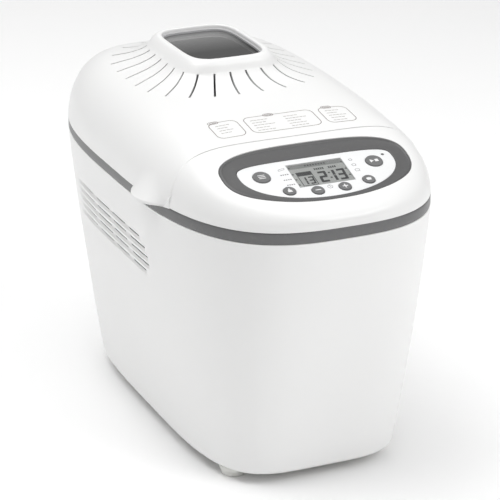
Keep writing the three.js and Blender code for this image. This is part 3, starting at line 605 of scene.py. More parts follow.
lid_border = border_finder([
    (0, 1, belt_run(chimney_y, plan_half_depth, lid_floor)),
    (3, corner_share, seam_run(seam_back + 4, lid_floor)),
    (corner_share, 4, belt_run(seam_back, chimney_y, lid_floor)),
])
inner_oval = oval_quarter(window_half[0] + 13, window_half[1] + 9.5, 4.2)
outer_oval = oval_quarter(window_half[0] + 46.5, window_half[1] + 39, 3.1)
rim_ovals = []
for out, _ in chimney_rows:
    depth_out = 0.9 * out if out < 8 else mixed(7.2, 9.5, (out - 8) / 5)
    power = 4.5 - 1.3 * between(out, 8, 26)
    rim_ovals.append(oval_quarter(window_half[0] + out, window_half[1] + depth_out, power))


def swept_out(x, y, z):
    """Pushes the flank out into the lifting tab."""
    if not tab_ends[0] < y < tab_ends[1] or z > 262:
        return x, y, z
    swell = math.sin(math.pi * (y - tab_ends[0]) / (tab_ends[1] - tab_ends[0])) ** 0.75
    top = 244 + 14 * swell
    share = min(max((top - z) / (top - lid_floor), 0), 1)
    return x + math.copysign(tab_reach * swell * share ** 1.9, x), y, z


def lid_line(share, sideways):
    """One line of the lid, from the window's inner wall over the rim and down to the border."""
    start, stop = along(inner_oval, share, sideways), along(outer_oval, share, sideways)
    points = []
    for (out, lift), oval in zip(chimney_rows, rim_ovals):
        x, y = along(oval, share, sideways)
        y += chimney_y
        base = mixed(chimney_base, dome_top(x, y), between(out, 8, 26))
        points.append((x, y, base + lift))
    for step in range(slot_steps + 1):
        part = step / slot_steps
        x, y = mixed(start[0], stop[0], part), mixed(start[1], stop[1], part) + chimney_y
        out = 13 + 33.5 * part
        base = mixed(chimney_base, dome_top(x, y), between(out, 8, 26))
        points.append((x, y, base + interpolated(foot_lifts, out)))
    last_x, last_y = points[-1][:2]
    edge = lid_border(share)
    for step in range(1, flank_steps):
        part = 1 - (1 - step / flank_steps) ** 2.2
        x, y = mixed(last_x, edge[0], part), mixed(last_y, edge[1], part)
        points.append(swept_out(x, y, max(dome_top(x, y), lid_floor)))
    points.append(swept_out(*edge))
    return points


lid_lines = []
for slot in range(slot_count):
    for step in range(lines_between + 1):
        part = step / lines_between
        lid_lines.append(lid_line((slot + part) / slot_count * 4, slot_half_width * (1 - 2 * part)))
lid_lines.append(lid_lines[0])
first_slot_row = len(chimney_rows)


def is_steam_slot(column, row):
    return (column + 1) % (lines_between + 1) == 0 and first_slot_row <= row < first_slot_row + slot_steps


lid_shell = wrapped("lid_dome", [list(ring) for ring in zip(*lid_lines)], is_steam_slot)
thicken(lid_shell, wall)
finished(lid_shell, white_plastic, 38)


def box(name, low, high, bevel=0.0, turn=None):
    """A block between two corners, with rounded edges."""
    bpy.ops.object.select_all(action="DESELECT")
    bpy.ops.mesh.primitive_cube_add(size=1)
    piece = bpy.context.object
    piece.name = name
    size = Vector([(b - a) / 1000 for a, b in zip(low, high)])
    middle = Vector([(a + b) / 2000 for a, b in zip(low, high)])
    piece.data.transform(Matrix.Translation(middle) @ Matrix.Diagonal((*size, 1)))
    if bevel:
        bpy.ops.object.mode_set(mode="EDIT")
        bpy.ops.mesh.select_all(action="SELECT")
        bpy.ops.mesh.bevel(offset=bevel / 1000, segments=3, affect="EDGES")
        bpy.ops.object.mode_set(mode="OBJECT")
    if turn:
        piece.data.transform(turn)
    smooth(piece)
    return piece


hinge_x = 30
cut_away(lid_shell, *[
    box("notch", (side * hinge_x - 4.6, 194.5, 232), (side * hinge_x + 4.6, 219, 255)) for side in (-1, 1)])
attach(lid_shell, "lid")
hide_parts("lid_shell")

# Window.
# A dark tinted pane lies in a groove under the chimney's rim, held by a pale clamp ring below and
# wiped by a grey seal above. Its colour is painted lighter towards the rear, as a painted reflection
# of the bright inner wall.
seal_rubber = moulded_plastic("seal_finish", (0.52, 0.52, 0.53), 0.6, grain=1800, depth=0.00003)


def window_ring(grow, z, count=160):
    oval = oval_quarter(window_half[0] + grow, window_half[1] + grow, 4.5)
    ring = [along(oval, step / count * 4) for step in range(count)]
    return [(x, y + chimney_y, z) for x, y in ring + ring[:1]]


def centre_of(ring):
    x, y, z = (sum(point[axis] for point in ring[:-1]) / (len(ring) - 1) for axis in range(3))
    return [(x, y, z)] * len(ring)


def capped(rings):
    """Rings closed at both ends by fans."""
    return [centre_of(rings[0])] + rings + [centre_of(rings[-1])]


glass = wrapped("window_pane", capped([
    window_ring(grow, z) for grow, z in [(1.4, 304.4), (1.7, 304.7), (1.7, 307.6), (1.4, 307.9)]]))
tinted, glass_shader, where = new_material("tinted_glass_painted_reflection_finish")
glass_shader.inputs["Transmission Weight"].default_value = 0.6
glass_shader.inputs["IOR"].default_value = 1.5
film_and_painted_reflection = placed_group(tinted, uneven_finish, {
    "Patches": 14.0, "Tone Change": 0.1, "Roughness": 0.03, "Gloss Change": 0.03,
}, where)
# Painted reflection: the pane's colour runs from near black at the front to mid grey at the rear. This stands
# in for the bright inner wall reflected in the glass, not for any change in the tint.
split = added(tinted.node_tree, "SeparateXYZ")
painted_reflection_ramp = added(tinted.node_tree, "MapRange", {
    "From Min": 0.055, "From Max": 0.105, "To Min": 0.03, "To Max": 0.4})
wired(
    tinted.node_tree,
    (where, split.inputs["Vector"]),
    (split.outputs["Y"], painted_reflection_ramp.inputs["Value"]),
    (painted_reflection_ramp.outputs["Result"], film_and_painted_reflection.inputs["Color"]),
)
feed(tinted, glass_shader, film_and_painted_reflection.outputs["Color"], film_and_painted_reflection.outputs["Roughness"])
finished(glass, tinted)
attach(glass, "lid")
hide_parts("window_glass")

seal = wrapped("window_seal", [window_ring(grow, z) for grow, z in [
    (-0.05, 308.05), (-0.9, 308.05), (-1.0, 308.6), (-0.9, 309.9), (-0.05, 310.5), (-0.05, 308.05)]])
finished(seal, seal_rubber)
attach(seal, "lid")

face_plastic = moulded_plastic(
    "panel_face_finish", (0.84, 0.845, 0.85), 0.3, grain=1800, depth=0.000008, tone=0.015)
clamp = wrapped("window_clamp", [window_ring(grow, z) for grow, z in [
    (-1.5, 300.5), (-1.2, 300.2), (5.2, 300.2), (5.5, 300.5), (5.5, 302.8), (5.2, 303.1), (-1.2, 303.1),
    (-1.5, 302.8), (-1.5, 300.5)]])
finished(clamp, face_plastic)
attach(clamp, "lid")
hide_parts("window_frame")

# Control housing.
# The white front of the dome, fixed to the casing. It is moulded with an oval seat for the panel.
panel_tilt = math.radians(17.25)
panel_centre = (0, -159.3, 266.6)
bezel_oval = (82, 29.8, 45.4, 9.6, 2.8, 2.3)
fascia_oval = (68, 15.4, 37.7, 6.2, 4.4, 2.05)
on_panel = Matrix.Translation(Vector(panel_centre) / 1000) @ Matrix.Rotation(panel_tilt, 4, "X")


def panel_point(across, up, height):
    x, y, z = panel_centre
    sine, cosine = math.sin(panel_tilt), math.cos(panel_tilt)
    return x + across, y + up * cosine - height * sine, z + up * sine + height * cosine


def dome_over_panel(across, up):
    """How high the dome passes over a point of the panel's plane."""
    height = 0
    for _ in range(4):
        x, y, z = panel_point(across, up, height)
        height += (dome_top(x, y) - z) / math.cos(panel_tilt)
    return height


def oval_at(oval, angle, grow=0):
    """A point of a D-like oval on the panel, fuller and flatter along its top."""
    half_width, top, bottom, widest, top_power, bottom_power = oval
    cosine, sine = math.cos(angle), math.sin(angle)
    power, reach = (top_power, top) if sine >= 0 else (bottom_power, bottom)
    across = math.copysign((half_width + grow) * abs(cosine) ** (2 / power), cosine)
    return across, widest + math.copysign((reach + grow) * abs(sine) ** (2 / power), sine)


def even_oval(oval, grow, count):
    """Evenly spaced points of the oval, closed, from its right-hand side."""
    fine = [oval_at(oval, step / 1600 * 2 * math.pi, grow) for step in range(1601)]
    return evenly(fine, count)


housing_corner = 0.3
housing_lines = 240
housing_border = border_finder([
    (0, housing_corner, belt_run(-150, -115.5, dome_floor)),
    (housing_corner, 1, list(reversed(seam_run(-111.5, dome_floor)))),
    (3, 4, belt_run(-plan_half_depth, -150, dome_floor)),
])
housing_lips = [(0.3, None, -3.1), (0.3, -0.5, None), (0.42, -0.14, None), (0.8, 0, None)]
housing_rows = 34
lips = []
for grow, below, height in housing_lips:
    ring = []
    for across, up in even_oval(bezel_oval, grow, housing_lines):
        ring.append(panel_point(across, up, dome_over_panel(across, up) + below if height is None else height))
    lips.append(ring)
rings = list(lips)
for step in range(1, housing_rows + 1):
    part = 1 - (1 - step / housing_rows) ** 2.0
    ring = []
    for line in range(housing_lines + 1):
        edge = housing_border(line / housing_lines * 4)
        x, y = (mixed(p, q, part) for p, q in zip(lips[-1][line], edge[:2]))
        ring.append((x, y, edge[2] if part == 1 else max(dome_top(x, y), dome_floor)))
    rings.append(ring)
housing = wrapped("control_housing_shell", rings)
thicken(housing, wall)
finished(housing, white_plastic, 38)
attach(housing, "casing")
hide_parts("control_housing")

# Bezel.
# A darker grey frame, dished between its rolled outer edge and the face plate.
bezel_plastic = moulded_plastic("bezel_finish", (0.095, 0.095, 0.096), 0.42, grain=1500, tone=0.05, dust=0.04)
bezel_rows = [
    (0, -3.0, True), (0, -0.75, False), (0.03, -0.35, False), (0.08, -0.15, False), (0.14, -0.12, False)]
bezel_rows += [(step / 16, None, False) for step in range(3, 16)]
bezel_rows += [(0.965, -0.8, True), (0.985, -0.95, True), (1, -1.3, True), (1, -3.0, True)]
rings = []
for share, height, from_plane in bezel_rows:
    ring = []
    for step in range(241):
        angle = step / 240 * 2 * math.pi
        outer, inner = oval_at(bezel_oval, angle), oval_at(fascia_oval, angle, 0.3)
        across, up = (mixed(p, q, share) for p, q in zip(outer, inner))
        dome = dome_over_panel(across, up)
        if height is None:
            dish = 0.06 * math.dist(outer, inner) * math.sin(math.pi * share)
            level = mixed(dome - 0.12, -0.75, share) - dish
        else:
            level = height if from_plane else dome + height
        ring.append(panel_point(across, up, level))
    rings.append(ring)
rings.append(rings[0])
bezel = wrapped("panel_bezel", rings)
finished(bezel, bezel_plastic, 40)
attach(bezel, "casing")
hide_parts("control_bezel")

# Face plate.
# A flat white plate, let into the bezel, with round holes for the keys and lamp and a slot for the display.
keys = {
    "menu": (-49.8, 4.2, 7.2), "start_stop": (49.8, 4.2, 7.2),
    "weight": (-34.9, -18, 5.2), "crust": (34.9, -18, 5.2),
    "minus": (-11.9, -22.3, 5.2), "plus": (11.9, -22.3, 5.2),
}
display_half = (24.3, 15.1)
lamp_place = (60.9, 11.7)
face_top = -1.2


def panel_hole(radius, across, up):
    tool = drill(radius, (0, 0, 0), 20)
    tool.data.transform(on_panel @ Matrix.Translation((across / 1000, up / 1000, 0)))
    return tool


face_rings = []
for grow, height in [(-0.3, -3.0), (0, -2.8), (0, -1.5), (-0.1, -1.3), (-0.35, face_top)]:
    face_rings.append([panel_point(x, y, height) for x, y in even_oval(fascia_oval, grow, 200)])
face = wrapped("panel_face_plate", capped(face_rings))
tools = [panel_hole(radius + 0.4, across, up) for across, up, radius in keys.values()]
tools.append(panel_hole(1.5, *lamp_place))
tools.append(box("tool", (-24.6, -15.4, -20), (24.6, 15.4, 20), turn=on_panel))
cut_away(face, *tools)
finished(face, face_plastic)
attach(face, "casing")
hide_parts("control_fascia")

# Keys.
# Six dished grey caps, each on its own plunger, with a white symbol printed on top.
key_plastic = moulded_plastic("key_finish", (0.155, 0.156, 0.158), 0.42, grain=1700, tone=0.04)
ink_white = moulded_plastic("white_ink_finish", (0.8, 0.8, 0.8), 0.5, depth=0.000004)
key_top = -0.1


def plates(name, outlines, low, high, turn):
    """Thin flat plates, one for each outline of (across, up) points, made as filled circles and extruded."""
    made = []
    for outline in outlines:
        bpy.ops.object.select_all(action="DESELECT")
        bpy.ops.mesh.primitive_circle_add(vertices=len(outline), fill_type="NGON")
        plate = bpy.context.object
        for corner, (x, y) in zip(plate.data.vertices, outline):
            corner.co = (x / 1000, y / 1000, low / 1000)
        bpy.ops.object.mode_set(mode="EDIT")
        bpy.ops.mesh.select_all(action="SELECT")
        bpy.ops.mesh.extrude_region_move(TRANSFORM_OT_translate={"value": (0, 0, (high - low) / 1000)})
        bpy.ops.mesh.select_all(action="SELECT")
        bpy.ops.mesh.normals_make_consistent(inside=False)
        bpy.ops.object.mode_set(mode="OBJECT")
        made.append(plate)
    bpy.ops.object.select_all(action="DESELECT")
    for plate in made:
        plate.select_set(True)
    bpy.context.view_layer.objects.active = made[0]
    if len(made) > 1:
        bpy.ops.object.join()
    made[0].name = name
    made[0].data.transform(turn)
    return made[0]


def bar(x0, y0, x1, y1):
    return [(x0, y0), (x1, y0), (x1, y1), (x0, y1)]


def disc(x, y, radius, count=20):
    turns = [step / count * 2 * math.pi for step in range(count)]
    return [(x + radius * math.cos(turn), y + radius * math.sin(turn)) for turn in turns]


def loaf(x, y, size):
    """A loaf in outline: a crowned top over a narrower base."""
    points = [
        (-0.8, -0.6), (0.8, -0.6), (0.8, 0.05), (1, 0.25), (0.95, 0.55), (0.6, 0.75), (0, 0.82), (-0.6, 0.75),
        (-0.95, 0.55), (-1, 0.25), (-0.8, 0.05)]
    return [(x + size * a, y + size * b) for a, b in points]


def key_symbol(key, x, y):
    if key == "menu":
        return [bar(x - 3, y + rise - 0.35, x + 3, y + rise + 0.35) for rise in (-2, 0, 2)]
    if key == "start_stop":
        return [[(x - 3.6, y - 2.1), (x - 0.4, y), (x - 3.6, y + 2.1)], bar(x + 0.6, y - 1.6, x + 3.6, y + 1.6)]
    if key == "weight":
        weight = [(x - 2, y - 1.9), (x + 2, y - 1.9), (x + 1.4, y + 0.9), (x - 1.4, y + 0.9)]
        return [weight, disc(x, y + 1.9, 0.8)]
    if key == "crust":
        return [loaf(x, y - 0.1, 2.3)]
    across = bar(x - 2.4, y - 0.45, x + 2.4, y + 0.45)
    if key == "minus":
        return [across]
    return [across, bar(x - 0.45, y + 0.5, x + 0.45, y + 2.4), bar(x - 0.45, y - 2.4, x + 0.45, y - 0.5)]


for key, (across, up, radius) in keys.items():
    profile = [
        (0, -7.4), (radius - 2, -7.4), (radius + 1.2, -4.4), (radius + 1.2, -3.9), (radius, -3.9),
        (radius, key_top - 0.5), (radius - 0.16, key_top - 0.16), (radius - 0.5, key_top),
        (radius - 1.0, key_top - 0.05), (radius * 0.6, key_top - 0.2), (0, key_top - 0.26)]
    centre = on_panel @ Matrix.Translation((across / 1000, up / 1000, 0))
    cap = spun(f"{key}_key", profile, turn=centre)
    cap.data.materials.append(key_plastic)
    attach(cap, key)
    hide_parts(f"{key}_button")
    symbol = plates(f"{key}_symbol", key_symbol(key, across, up), key_top - 0.35, key_top - 0.12, on_panel)
    symbol.data.materials.append(ink_white)
    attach(symbol, key)

# Display.
# A grey-green liquid crystal panel in a black carrier, behind a thin clear pane. Segments are dark.
display_plastic = moulded_plastic("display_carrier_finish", (0.02, 0.02, 0.022), 0.5)
display_face = moulded_plastic(
    "liquid_crystal_finish", (0.31, 0.32, 0.31), 0.35, grain=4000, depth=0.000003, tone=0.04)
segment_ink = moulded_plastic("segment_finish", (0.012, 0.012, 0.014), 0.4, depth=0.000003)
header_ink = moulded_plastic("header_finish", (0.17, 0.175, 0.17), 0.4, depth=0.000003)
crystal_top = -1.65
carrier = box("display_carrier", (-26, -15.2, -9.6), (26, 17, -3.5), 0.5, on_panel)
carrier.data.materials.append(display_plastic)
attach(carrier, "casing")
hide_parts("lcd_module")
crystal = box("display_crystal", (-24.2, -15, -3.5), (24.2, 15, crystal_top), 0.3, on_panel)
crystal.data.materials.append(display_face)
header = plates("display_header", [bar(-23.4, 9.4, 23.4, 14.4)], crystal_top, -1.62, on_panel)
header.data.materials.append(header_ink)

segments_of = {"1": "bc", "2": "abged", "3": "abgcd"}


def digit(figure, x, y, width, height, stroke):
    """A seven-segment figure, from its lower left corner."""
    half, nick = height / 2, stroke * 0.18
    places = {
        "a": (nick, height - stroke, width - nick, height),
        "b": (width - stroke, half + nick, width, height - nick),
        "c": (width - stroke, nick, width, half - nick),
        "d": (nick, 0, width - nick, stroke),
        "e": (0, nick, stroke, half - nick),
        "g": (nick, half - stroke / 2, width - nick, half + stroke / 2),
    }
    outlines = []
    for segment in segments_of[figure]:
        x0, y0, x1, y1 = places[segment]
        outlines.append([(x + a + 0.06 * b, y + b) for a, b in bar(x0, y0, x1, y1)])
    return outlines


marks = digit("1", -19.4, -12.2, 4.6, 9.6, 1.5) + digit("3", -13.2, -12.2, 4.8, 9.6, 1.5)
for figure, left, width in (("2", -3.6, 7.4), ("1", 5.2, 6), ("3", 13, 7.2)):
    marks += digit(figure, left, -12.4, width, 14.4, 2.3)
marks += [bar(*corners) for corners in (
    (5.8, -8.4, 7.4, -6.8), (6.3, -1.8, 7.9, -0.2), (-20.4, -0.6, -7, 4.4), (-20.4, -13.8, -19.8, -0.6),
    (-7.6, -13.8, -7, -0.6), (-20.4, -13.8, -7, -13.2))]
marks += [bar(x, 4.6, x + 1.1, 7) for x in (-3.2, -1.4, 0.4, 2.2, 4.0, 9.4, 11.2, 13.0, 14.8)]
marks += [bar(x, 11.2, x + 1.3, 12.8) for x in (-9, -6.6, -4.2, -1.8, 0.6, 3, 5.4, 7.8)]
for up in (11.2, 2.6, -4.4, -11.4):
    marks.append([(-23.6, up + 1.2), (-23.6, up - 1.2), (-21.9, up)])
for up in (10.6, 1.2, -7.4):
    marks.append([(23.6, up - 1.2), (23.6, up + 1.2), (21.9, up)])
figures = plates("display_figures", marks, crystal_top, -1.57, on_panel)
figures.data.materials.append(segment_ink)
for piece in (crystal, header, figures):
    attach(piece, "casing")

across, up = display_half
pane = box("display_pane", (-across, -up, -1.5), (across, up, -1.2), 0.1, on_panel)
clear, clear_shader, where = new_material("clear_pane_finish")
wiped = placed_group(clear, uneven_finish, {
    "Patches": 60.0, "Color": (0.6, 0.62, 0.62, 1), "Tone Change": 0.1, "Roughness": 0.12, "Gloss Change": 0.08,
}, where)
feed(clear, clear_shader, wiped.outputs["Color"], wiped.outputs["Roughness"])
clear_shader.inputs["Alpha"].default_value = 0.03
pane.data.materials.append(clear)
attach(pane, "casing")
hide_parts("display_window")

# Panel prints and lamp.
# Grey marks beside the display, three small loaves, a clock and a small lamp lens by the start key.
ink_grey = moulded_plastic("grey_ink_finish", (0.17, 0.17, 0.175), 0.5, depth=0.000004)


def outlined(outline, stroke):
    """A closed outline as a chain of thin bars."""
    bars = []
    for (x0, y0), (x1, y1) in zip(outline, outline[1:] + outline[:1]):
        length = math.hypot(x1 - x0, y1 - y0)
        a, b = -(y1 - y0) / length * stroke / 2, (x1 - x0) / length * stroke / 2
        bars.append([(x0 - a, y0 - b), (x1 - a, y1 - b), (x1 + a, y1 + b), (x0 + a, y0 + b)])
    return bars


prints = []
for row, up in enumerate((3.6, -3.2, -10)):
    for step in range(4):
        prints.append(bar(-33.6 + 1.9 * step, up - 0.55, -32.4 + 1.9 * step, up + 0.55))
prints += outlined([(-33, 9.2), (-27.4, 10.4), (-27, 12.2), (-32.6, 11)], 0.3)
for up, size in ((10.6, 1.5), (3.4, 1.8), (-3.8, 2.1)):
    prints += outlined(loaf(31.4, up, size), 0.35)
prints += outlined(disc(0, -19.4, 2.1, 16), 0.35)
prints += [bar(-0.18, -19.4, 0.18, -18), bar(0, -19.55, 1.1, -19.2)]
panel_prints = plates("panel_prints", prints, face_top, face_top + 0.06, on_panel)
panel_prints.data.materials.append(ink_grey)
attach(panel_prints, "casing")
lamp_profile = [(0, -6), (1.2, -6), (1.2, face_top - 0.1), (1.0, face_top + 0.06), (0, face_top + 0.1)]
lamp_centre = on_panel @ Matrix.Translation((lamp_place[0] / 1000, lamp_place[1] / 1000, 0))
lamp = spun("lamp_lens", lamp_profile, turn=lamp_centre)
lamp.data.materials.append(key_plastic)
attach(lamp, "casing")
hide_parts("status_lens")

# Lid prints.
# Three programme tables in thin grey-brown lines, each with rounded corners, rows of dashes and a
# small oval sign on its upper edge. The ink follows the dome.
ink_brown = moulded_plastic("brown_ink_finish", (0.2, 0.165, 0.155), 0.5, depth=0.000004)
tables = {"left": (-62, -37, 1, 3), "centre": (-31, 31, 2, 4), "right": (37, 63, 1, 4)}
table_front, table_rear = -99, -71
row_reaches = (0.62, 0.5, 0.68, 0.55, 0.6)


def rounded_box(x0, y0, x1, y1, radius):
    outline = []
    for cx, cy, start in ((x1, y1, 0), (x0, y1, 90), (x0, y0, 180), (x1, y0, 270)):
        sign_x, sign_y = (-1 if cx == x1 else 1), (-1 if cy == y1 else 1)
        for step in range(7):
            angle = math.radians(start + 15 * step)
            x, y = cx + sign_x * radius, cy + sign_y * radius
            outline.append((x + radius * math.cos(angle), y + radius * math.sin(angle)))
    return outline


def finely(outline, longest=2.5):
    """The outline with its long sides divided, so that it can follow the dome."""
    points = []
    for (x0, y0), (x1, y1) in zip(outline, outline[1:] + outline[:1]):
        count = max(1, math.ceil(math.hypot(x1 - x0, y1 - y0) / longest))
        points += [(mixed(x0, x1, step / count), mixed(y0, y1, step / count)) for step in range(count)]
    return points


def laid_on_dome(piece, lift=0.02):
    for corner in piece.data.vertices:
        x, y, z = (1000 * value for value in corner.co)
        corner.co.z = (dome_top(x, y) + lift + z) / 1000
    return piece


for place, (x0, x1, columns, rows) in tables.items():
    lines = outlined(finely(rounded_box(x0, table_front, x1, table_rear, 6)), 0.6)
    middle = (x0 + x1) / 2 - (7 if place != "right" else 4)
    lines += outlined(rounded_box(middle - 4.4, table_rear - 1.8, middle + 4.4, table_rear + 2.4, 2), 0.5)
    lines += outlined(rounded_box(middle - 2.8, table_rear - 0.9, middle + 2.8, table_rear + 1.5, 1.1), 0.35)
    for column in range(columns):
        start = x0 + 5 + column * (x1 - x0 - 2) / columns
        for row in range(rows + 1):
            y = table_rear - 6.5 - row * 4.4
            reach = (x1 - x0) / columns * row_reaches[(row + column) % 5] - 3
            for step in range(max(2, round(reach / 3.2))):
                lines.append(bar(start + 3.2 * step, y - 0.26, start + 3.2 * step + 2.7, y + 0.26))
    table = laid_on_dome(plates(f"lid_table_{place}", lines, 0, 0.05, Matrix()))
    table.data.materials.append(ink_brown)
    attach(table, "lid")

# Deck.
# A white plate closes the casing round the oven's mouth and carries the hinge brackets.
oven_y = 38


def oval_ring(half_width, half_depth, z, y=oven_y, power=5, count=144):
    oval = oval_quarter(half_width, half_depth, power)
    ring = [along(oval, step / count * 4) for step in range(count)]
    return [(a, b + y, z) for a, b in ring + ring[:1]]


def cast_out(ring, inside):
    """Each point of a ring, carried straight out from the oven's centre to the edge of a region."""
    reached = []
    for x, y, z in ring:
        low, high = 1.0, 3.0
        for _ in range(30):
            middle = (low + high) / 2
            if inside(x * middle, oven_y + (y - oven_y) * middle):
                low = middle
            else:
                high = middle
        reached.append((x * low, oven_y + (y - oven_y) * low, z))
    return reached


def in_casing(x, y):
    half_width, half_depth, round_x, round_y = casing_plan(belt_bottom, neck_inset + wall + 0.3)
    return abs(x / half_width) ** round_x + abs(y / half_depth) ** round_y < 1


mouth = oval_ring(73.2, 127.2, 235.4, count=288)
outer = cast_out(mouth, in_casing)
deck_rings = [outer, [(x, y, 231.6) for x, y, z in outer], [(x, y, 231.6) for x, y, z in mouth]]
deck_rings += [[(x, y, 235.0) for x, y, z in mouth], oval_ring(73.6, 127.6, 235.4, count=288)]
deck = wrapped("top_deck_plate", deck_rings + [outer])
finished(deck, white_plastic)
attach(deck, "casing")
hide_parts("top_deck")

# Oven.
# A drawn steel tub with a rolled flange, hung under the deck. A sheathed heating rod runs round its foot.
brushed_lines, entry, leave = effect_group(
    "brushed_lines", {"Vector": "Vector", "Lines": "Float"}, {"Height": "Float", "Streaks": "Float"})
drawn = added(brushed_lines, "TexNoise", {"Detail": 4})
wired(
    brushed_lines,
    (entry.outputs["Vector"], drawn.inputs["Vector"]),
    (entry.outputs["Lines"], drawn.inputs["Scale"]),
    (drawn.outputs["Fac"], leave.inputs["Height"]),
    (math_node(brushed_lines, "MULTIPLY", drawn.outputs["Fac"], 0.3), leave.inputs["Streaks"]),
)


def metal(name, color, roughness, stretch=(1, 1, 1), lines=900.0, tone=0.12):
    """Bare metal: fine lines along one direction, with slow changes of tone and gloss."""
    material, shader, where = new_material(name)
    mapping = added(material.node_tree, "Mapping", {"Scale": stretch})
    wired(material.node_tree, (where, mapping.inputs["Vector"]))
    lined = placed_group(material, brushed_lines, {"Lines": lines}, mapping.outputs["Vector"])
    uneven = placed_group(material, uneven_finish, {
        "Patches": 18.0, "Color": (*color, 1), "Tone Change": tone, "Roughness": roughness, "Gloss Change": 0.2,
    }, where)
    rough = math_node(material.node_tree, "ADD", uneven.outputs["Roughness"], lined.outputs["Streaks"])
    feed(material, shader, uneven.outputs["Color"], rough, lined.outputs["Height"])
    shader.inputs["Metallic"].default_value = 1.0
    return material


drawn_steel = metal("drawn_steel_finish", (0.56, 0.57, 0.58), 0.22, stretch=(1, 1, 0.03))
bright_steel = metal("bright_steel_finish", (0.62, 0.63, 0.64), 0.14, lines=500.0)
zinc_plate = metal("zinc_plate_finish", (0.52, 0.54, 0.55), 0.32, lines=160.0, tone=0.3)
sheath = metal("heater_sheath_finish", (0.2, 0.195, 0.19), 0.36, lines=700.0, tone=0.4)
spindle_places = {"front": -17, "rear": 93}
tub_rings = [oval_ring(a, b, z) for a, b, z in [
    (68, 122, 66), (70.2, 124.2, 66.5), (72.2, 126.2, 67.9), (73.5, 127.5, 69.8), (74, 128, 72),
    (74, 128, 110), (74, 128, 150), (74, 128, 190), (74, 128, 227.4), (74.3, 128.3, 228.8),
    (75.1, 129.1, 229.7), (76.2, 130.2, 230), (81, 135, 230)]]
tub = wrapped("oven_tub", [centre_of(tub_rings[0])] + tub_rings)
thicken(tub, 1.2)
holes = [drill(3.6, (0, -90, 120), 20, lying=True)]
holes += [drill(3.9, (x, 166, 78), 30, lying=True) for x in (-12, 12)]
holes += [drill(8, (0, y, 65), 30) for y in spindle_places.values()]
cut_away(tub, *holes)
finished(tub, drawn_steel, 40)
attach(tub, "casing")
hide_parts("oven_cavity")


def softened(points, rounds=2):
    """A chain of points with its corners cut, keeping both ends."""
    for _ in range(rounds):
        cut = [points[0]]
        for before, after in zip(points, points[1:]):
            cut.append(tuple(mixed(p, q, 0.25) for p, q in zip(before, after)))
            cut.append(tuple(mixed(p, q, 0.75) for p, q in zip(before, after)))
        points = cut + [points[-1]]
    return points


def piped(name, points, radius, sides=16):
    """A round rod along a chain of points, closed at both ends."""
    rings = []
    side = None
    for place, point in enumerate(points):
        before, after = points[max(place - 1, 0)], points[min(place + 1, len(points) - 1)]
        ahead = (Vector(after) - Vector(before)).normalized()
        side = (side or ahead.orthogonal()) - ahead * ahead.dot(side or ahead.orthogonal())
        side.normalize()
        other = ahead.cross(side)
        ring = []
        for step in range(sides + 1):
            turn = step / sides * 2 * math.pi
            ring.append(tuple(Vector(point) + radius * (math.cos(turn) * side + math.sin(turn) * other)))
        rings.append(ring)
    rod = wrapped(name, capped(rings))
    smooth(rod, 50)
    return rod


heater_oval = oval_quarter(68, 121.5, 5)
heater_path = [(12, 178, 78), (12, 166, 78), (14.5, 160.9, 78), (19, 159.4, 78)]
for step in range(141):
    x, y = along(heater_oval, (0.86 - 3.72 * step / 140) % 4)
    heater_path.append((x, y + oven_y, 78))
heater_path += [(-19, 159.4, 78), (-14.5, 160.9, 78), (-12, 166, 78), (-12, 178, 78)]
heater = piped("heating_rod", heater_path, 3.1)
heater.data.materials.append(sheath)
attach(heater, "casing")
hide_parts("heating_element")

# Bread pan.
# A pressed pan with a rolled rim and a dark non-stick coat. Two riveted ears hold the wire handle,
# and a skirt underneath keeps the couplings off the worktop.
coating_speckle, entry, leave = effect_group(
    "coating_speckle", {"Vector": "Vector", "Specks": "Float", "Color": "Color", "Speck Color": "Color"},
    {"Color": "Color", "Height": "Float"})
specks = added(coating_speckle, "TexVoronoi")
spot = added(coating_speckle, "MapRange", {"From Min": 0.1, "From Max": 0.24, "To Min": 1, "To Max": 0})
specked = blended(coating_speckle)
wired(
    coating_speckle,
    (entry.outputs["Vector"], specks.inputs["Vector"]),
    (entry.outputs["Specks"], specks.inputs["Scale"]),
    (specks.outputs["Distance"], spot.inputs["Value"]),
    (spot.outputs["Result"], specked.inputs["Factor"]),
    (entry.outputs["Color"], specked.inputs["A"]),
    (entry.outputs["Speck Color"], specked.inputs["B"]),
    (specked.outputs["Result"], leave.inputs["Color"]),
    (spot.outputs["Result"], leave.inputs["Height"]),
)
non_stick, coat_shader, where = new_material("non_stick_finish")
speckled = placed_group(non_stick, coating_speckle, {
    "Specks": 420.0, "Color": (0.035, 0.035, 0.037, 1), "Speck Color": (0.11, 0.11, 0.115, 1)}, where)
rubbed = placed_group(non_stick, uneven_finish, {
    "Patches": 16.0, "Color": speckled.outputs["Color"], "Tone Change": 0.3, "Roughness": 0.38,
    "Gloss Change": 0.2,
}, where)
feed(non_stick, coat_shader, rubbed.outputs["Color"], rubbed.outputs["Roughness"], speckled.outputs["Height"])
coat_shader.inputs["Specular IOR Level"].default_value = 0.6

pan_rings = [oval_ring(a, b, z) for a, b, z in [
    (54, 101, 86), (56.5, 103.5, 86.5), (58.8, 105.8, 88.4), (60, 107, 92), (61.5, 108.8, 120),
    (63, 110.5, 150), (64.7, 112.5, 182), (66, 114, 207.4), (66.6, 114.6, 208.1), (68.2, 116.2, 208.4),
    (68.8, 116.8, 208.9), (69, 117, 210.2), (68.7, 116.7, 211.4), (67.8, 115.8, 212), (66.4, 114.4, 212),
    (65.2, 113.2, 211.4), (64.6, 112.6, 210), (63.2, 111, 182), (61.5, 109, 150), (60, 107.3, 120),
    (58.6, 105.6, 93.2), (57.4, 104.4, 89.9), (55.2, 102.2, 88), (52.6, 99.6, 87.5)]]
pan = wrapped("bread_pan_shell", capped(pan_rings))
cut_away(pan, *[drill(4.4, (0, y, 85), 30) for y in spindle_places.values()])
finished(pan, non_stick, 40)
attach(pan, "pan")
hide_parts("bread_pan")
